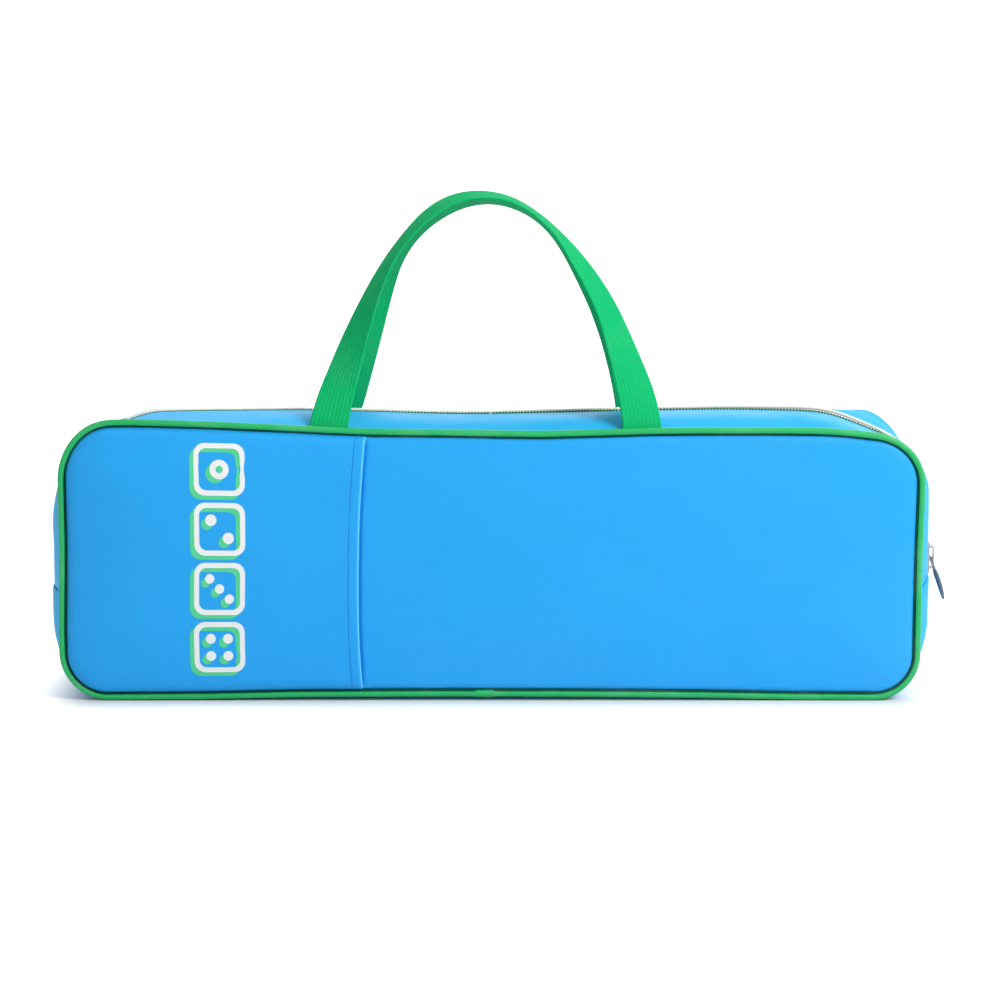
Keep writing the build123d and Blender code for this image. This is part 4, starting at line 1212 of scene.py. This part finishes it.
def makeCoil(name, side, end, reach):
    # one row of the zip: a wire wound into flattened loops that lock between those of the other row;
    # both halves are wound outwards from the middle of the top, so that they meet there
    z = zipForm
    track, line, outward = zipLine(*((0.0, reach) if end > 0 else (9 - reach, 9.0)))
    if end < 0:
        track, line, outward = track[::-1], line[::-1], outward[::-1]
    along = np.concatenate([[0], np.cumsum(np.linalg.norm(np.diff(line, axis=0), axis=1))])
    per = 12
    where = np.arange(int(along[-1] / z["pitch"]) * per + 1) * z["pitch"] / per
    phase = 2 * math.pi * (end * where / z["pitch"] + (0.25 if side < 0 else 0.75))
    base, out = (np.stack([np.interp(where, along, values[:, k]) for k in range(3)], -1) for values in (line, outward))
    rise = np.interp(where, along, z["low"] + (z["high"] - z["low"]) * zipStand(track))
    wide, tall = np.cos(phase), np.sin(phase)
    centre = base + out * (rise + z["loop"] * np.sign(tall) * np.abs(tall) ** 0.8)[:, None]
    # the rows part up the right end as far as the slider reaches, and on the left by the stop
    parting = smoothStep((134 - base[:, 2]) / 9) if end > 0 else smoothStep((84 - base[:, 2]) / 7)
    offset = z["offset"] + (z["parted"] - z["offset"]) * parting
    centre[:, 1] += side * (offset - z["reach"] * np.sign(wide) * np.abs(wide) ** 0.7)

    def unit(values):
        return values / np.maximum(np.linalg.norm(values, axis=1), 1e-9)[:, None]

    onward, course = unit(np.gradient(centre, axis=0)), unit(np.gradient(base, axis=0))
    one = unit(course - onward * (course * onward).sum(1)[:, None])
    two = np.cross(onward, one)
    angles = np.arange(6) * math.pi / 3
    points = centre[:, None] + (one[:, None] * np.cos(angles)[None, :, None] + two[:, None] * np.sin(angles)[None, :, None]) * z["wire"]
    # the stuffer cord inside the loops
    core = (base + out * rise[:, None])[::8]
    core[:, 1] += side * (offset[::8] + 0.45)
    coreOut, coreSide = out[::8], np.tile([0.0, -float(end), 0.0], (len(core), 1))
    cord = core[:, None] + (coreOut[:, None] * np.cos(angles)[None, :, None] * z["loop"]
                            + coreSide[:, None] * np.sin(angles)[None, :, None] * 0.9) * (z["core"] / 0.57)
    grids = [points, cord]
    faces, start = [], 0
    for grid in grids:
        faces += gridFaces(len(grid), 6, closeColumns=True, start=start)
        last = start + (len(grid) - 1) * 6
        faces += [tuple(start + k for k in range(5, -1, -1)), tuple(last + k for k in range(6))]
        start = last + 6
    uv = np.concatenate([np.stack(np.broadcast_arrays((np.arange(len(grid)) * 0.4)[:, None], (angles * z["wire"])[None]), -1)
                         for grid in grids])
    return makeMesh(name, np.concatenate(grids), faces, uv, coilMaterial)


for side, word, end, place, first, last in halves:
    tape = makeTape(word + place + "Tape", side, first, last)
    blendHalf(tape)
    finish(tape, None, "zip_tape", "end_zip_tapes", word + "_zip_tape")
    coil = makeCoil(word + place + "Coil", side, end, endSeamTrack - 2.4 / 95)  # ends just over its stop
    blendHalf(coil)
    finish(coil, None, "zip_coil", "end_coils", word + "_coil")
    track, _, outward = zipLine(first, last, 2.0)
    edgeLine = gussetWaves(gussetGrid(track, [side * zipForm["stitchOut"]], 0.0), 4.0)[0]
    edgeLine -= outward * (0.55 * smoothStep((0.46 - zipStand(track)) / 0.16))[:, None]
    if end < 0:
        edgeLine, outward = edgeLine[::-1], outward[::-1]
    stitches = stitchRow(word + place + "ZipStitch", edgeLine, outward, greenThread, pitch=2.1, length=1.8, radius=0.68, sink=0.25)
    blendHalf(stitches)
    finish(stitches, None, "zip_tape")
print("zip ready")

# ---------------------------------------------------------------- base pad and hard parts
baseForm = {"half": (239.0, 37.0), "low": 2.9, "thick": 3.9, "edge": 2.6}


def makeBasePad():
    b = baseForm
    steps = np.array([0.0, 0.25, 0.7, 1.3, 2.0, 2.8, 4.0])
    u = np.concatenate([steps - b["half"][0], np.arange(-232.0, 233.0, 8.0), b["half"][0] - steps[::-1]])
    v = np.concatenate([steps - b["half"][1], np.arange(-29.0, 30.0, 6.0), b["half"][1] - steps[::-1]])
    x, y = np.meshgrid(u, v)
    near = np.minimum(b["half"][0] - np.abs(x), b["half"][1] - np.abs(y))
    swell = np.sqrt(1 - (1 - np.clip(near / b["edge"], 0, 1)) ** 2) * b["thick"] / 2
    wave = softNoise(np.stack([x, y, 0 * x], -1), 40.0, 12.0) * 0.12 * np.clip(near / 6, 0, 1)
    middle = b["low"] + b["thick"] / 2
    top, low = np.stack([x, y, middle + swell + wave], -1), np.stack([x, y, middle - swell], -1)
    rows, columns = x.shape
    faces = gridFaces(rows, columns) + gridFaces(rows, columns, start=rows * columns, flip=True)
    corners = (0, columns - 1, (rows - 1) * columns, rows * columns - 1)  # cut off, as three-sided faces
    faces = [tuple(v for v in face if v % (rows * columns) not in corners) for face in faces]
    uv = np.concatenate([np.stack([x, y], -1).reshape(-1, 2), np.stack([x, y + 100], -1).reshape(-1, 2)])
    piece = makeMesh("baseFoam", np.concatenate([top.reshape(-1, 3), low.reshape(-1, 3)]), faces, uv, foamMaterial)
    weld = piece.modifiers.new("weld", "WELD")
    weld.merge_threshold = 0.00002
    finish(piece, "case", "foam", "base_foam")


makeBasePad()

pullForm = {
    "pin": (295.543, 0.0, 87.4),
    "lean": 18.0,  # degrees out from upright
    # distance down the pull, half width, half thickness, bow outwards
    "grip": [(8.4, 2.6, 0.75, 0.0), (8.9, 3.6, 1.15, 0.0), (10.0, 4.1, 1.4, 0.05), (12.5, 4.3, 1.65, 0.15), (16.0, 4.2, 1.8, 0.3),
             (20.0, 3.9, 1.8, 0.4), (24.0, 3.5, 1.6, 0.35), (27.5, 3.0, 1.25, 0.2), (29.8, 2.4, 0.85, 0.1), (30.6, 1.6, 0.5, 0.05)],
}


def makeGrip():
    # moulded grip on the pull's flat tab
    p = pullForm
    rows = np.array(p["grip"])
    fine = np.linspace(0, len(rows) - 1, 37)
    down, wide, thick, bow = [np.interp(fine, np.arange(len(rows)), rows[:, k]) for k in range(4)]
    lean = math.radians(p["lean"])
    course = np.array([math.sin(lean), 0, -math.cos(lean)])
    out = np.array([math.cos(lean), 0, math.sin(lean)])
    angles = np.arange(24) * 2 * math.pi / 24
    c, s = np.cos(angles), np.sin(angles)
    across, through = np.sign(c) * np.abs(c) ** 0.55, np.sign(s) * np.abs(s) ** 0.75
    centre = np.array(p["pin"]) + course * down[:, None] + out * bow[:, None]
    groove = 1 - 0.12 * np.exp(-(((down[:, None] - 14) % 3.2 - 1.6) / 0.5) ** 2) * ((down[:, None] > 13) & (down[:, None] < 25))
    points = (centre[:, None] + np.array([0.0, 1.0, 0.0]) * (wide[:, None] * across)[..., None]
              + out * (thick[:, None] * groove * through)[..., None])
    faces = gridFaces(len(fine), 24, closeColumns=True)
    faces += [tuple(range(23, -1, -1)), tuple((len(fine) - 1) * 24 + k for k in range(24))]
    uv = np.stack(np.broadcast_arrays(down[:, None], (angles * 3)[None]), -1)
    piece = makeMesh("pullGrip", points, faces, uv, slateMaterial)
    smooth = piece.modifiers.new("smooth", "SUBSURF")
    smooth.levels = smooth.render_levels = 1
    return finish(piece, "pull", "pull_metal")


makeGrip()
for node, material in (("slider_body", nickelMaterial), ("slider_bridge", nickelMaterial), ("zip_stops", nickelMaterial),
                       ("pull", slateMaterial), ("base_board", boardMaterial)):
    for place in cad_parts[node].material_slots:
        place.material = material
print("hard parts ready")

# ---------------------------------------------------------------- handles
def strapEdges(rows, side):
    # both edges of a strap in space: the seen width tells how far the strap has turned flat
    s = strapForm
    rows = np.array(rows)
    middle = (rows[:, :2] + rows[:, 2:]) / 2
    length = np.concatenate([[0], np.cumsum(np.linalg.norm(np.diff(middle, axis=0), axis=1))])
    even = np.linspace(0, length[-1], s["stations"])
    fine = np.stack([np.interp(even, length, rows[:, k]) for k in range(4)], -1)
    kernel = np.hanning(19)[1:-1]
    kernel /= kernel.sum()
    pad = len(kernel) // 2
    ends = np.concatenate([2 * fine[0] - fine[pad:0:-1], fine, 2 * fine[-1] - fine[-2:-pad - 2:-1]])
    fine = np.stack([np.convolve(ends[:, k], kernel, "valid") for k in range(4)], -1)
    seen = np.minimum(np.hypot(fine[:, 0] - fine[:, 2], fine[:, 1] - fine[:, 3]), s["width"])
    turn = np.arccos(seen / s["width"])
    turn = np.convolve(np.pad(turn, pad, mode="edge"), kernel, "valid")
    middle = (fine[:, :2] + fine[:, 2:]) / 2
    across = (fine[:, :2] - fine[:, 2:])
    across /= np.linalg.norm(across, axis=1)[:, None]
    height = np.clip((middle[:, 1] - s["hingeHeight"]) / s["rise"], 0, 1)
    depth = s["baseY"] + (s["topY"] - s["baseY"]) * height
    centre = np.stack([middle[:, 0], side * depth, middle[:, 1]], -1)
    wide = np.stack([across[:, 0] * np.cos(turn), -side * np.sin(turn), across[:, 1] * np.cos(turn)], -1)
    return centre, wide / np.linalg.norm(wide, axis=1)[:, None]


def makeStrap(name, side, node):
    s = strapForm
    centre, wide = strapEdges(s["front" if side < 0 else "back"], side)
    course = np.gradient(centre, axis=0)
    course -= wide * (course * wide).sum(1)[:, None]
    course /= np.linalg.norm(course, axis=1)[:, None]
    face = np.cross(wide, course)
    # ribbed section, front then back
    across = np.linspace(-0.5, 0.5, s["ribs"] * 6 + 1)
    rib = np.abs(np.sin(across * math.pi * s["ribs"])) ** 0.8
    edge = np.clip((0.5 - np.abs(across)) / 0.025, 0, 1) ** 0.5
    lift = (s["thickness"] / 2 - s["ribHeight"] + s["ribHeight"] * rib) * (0.3 + 0.7 * edge)
    section = np.concatenate([np.stack([across * s["width"], lift], -1), np.stack([across[::-1] * s["width"], -lift[::-1]], -1)])
    grid = centre[:, None] + wide[:, None] * section[None, :, :1] + face[:, None] * section[None, :, 1:]
    count = len(section)
    length = np.concatenate([[0], np.cumsum(np.linalg.norm(np.diff(centre, axis=0), axis=1))])
    girth = np.concatenate([across * s["width"], across[::-1] * s["width"] + 40])
    uv = np.stack(np.broadcast_arrays(length[:, None], girth[None]), -1)
    faces = gridFaces(len(centre), count, closeColumns=True)
    faces += [tuple(range(count - 1, -1, -1)), tuple(range((len(centre) - 1) * count, len(centre) * count))]
    piece = makeMesh(name, grid, faces, uv, webbingMaterial)
    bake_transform(piece)
    return finish(piece, None, "webbing", node, "handle_tails")


frontStrap = makeStrap("frontStrap", -1, "front_handle")
backStrap = makeStrap("backStrap", 1, "back_handle")
print("handles ready")
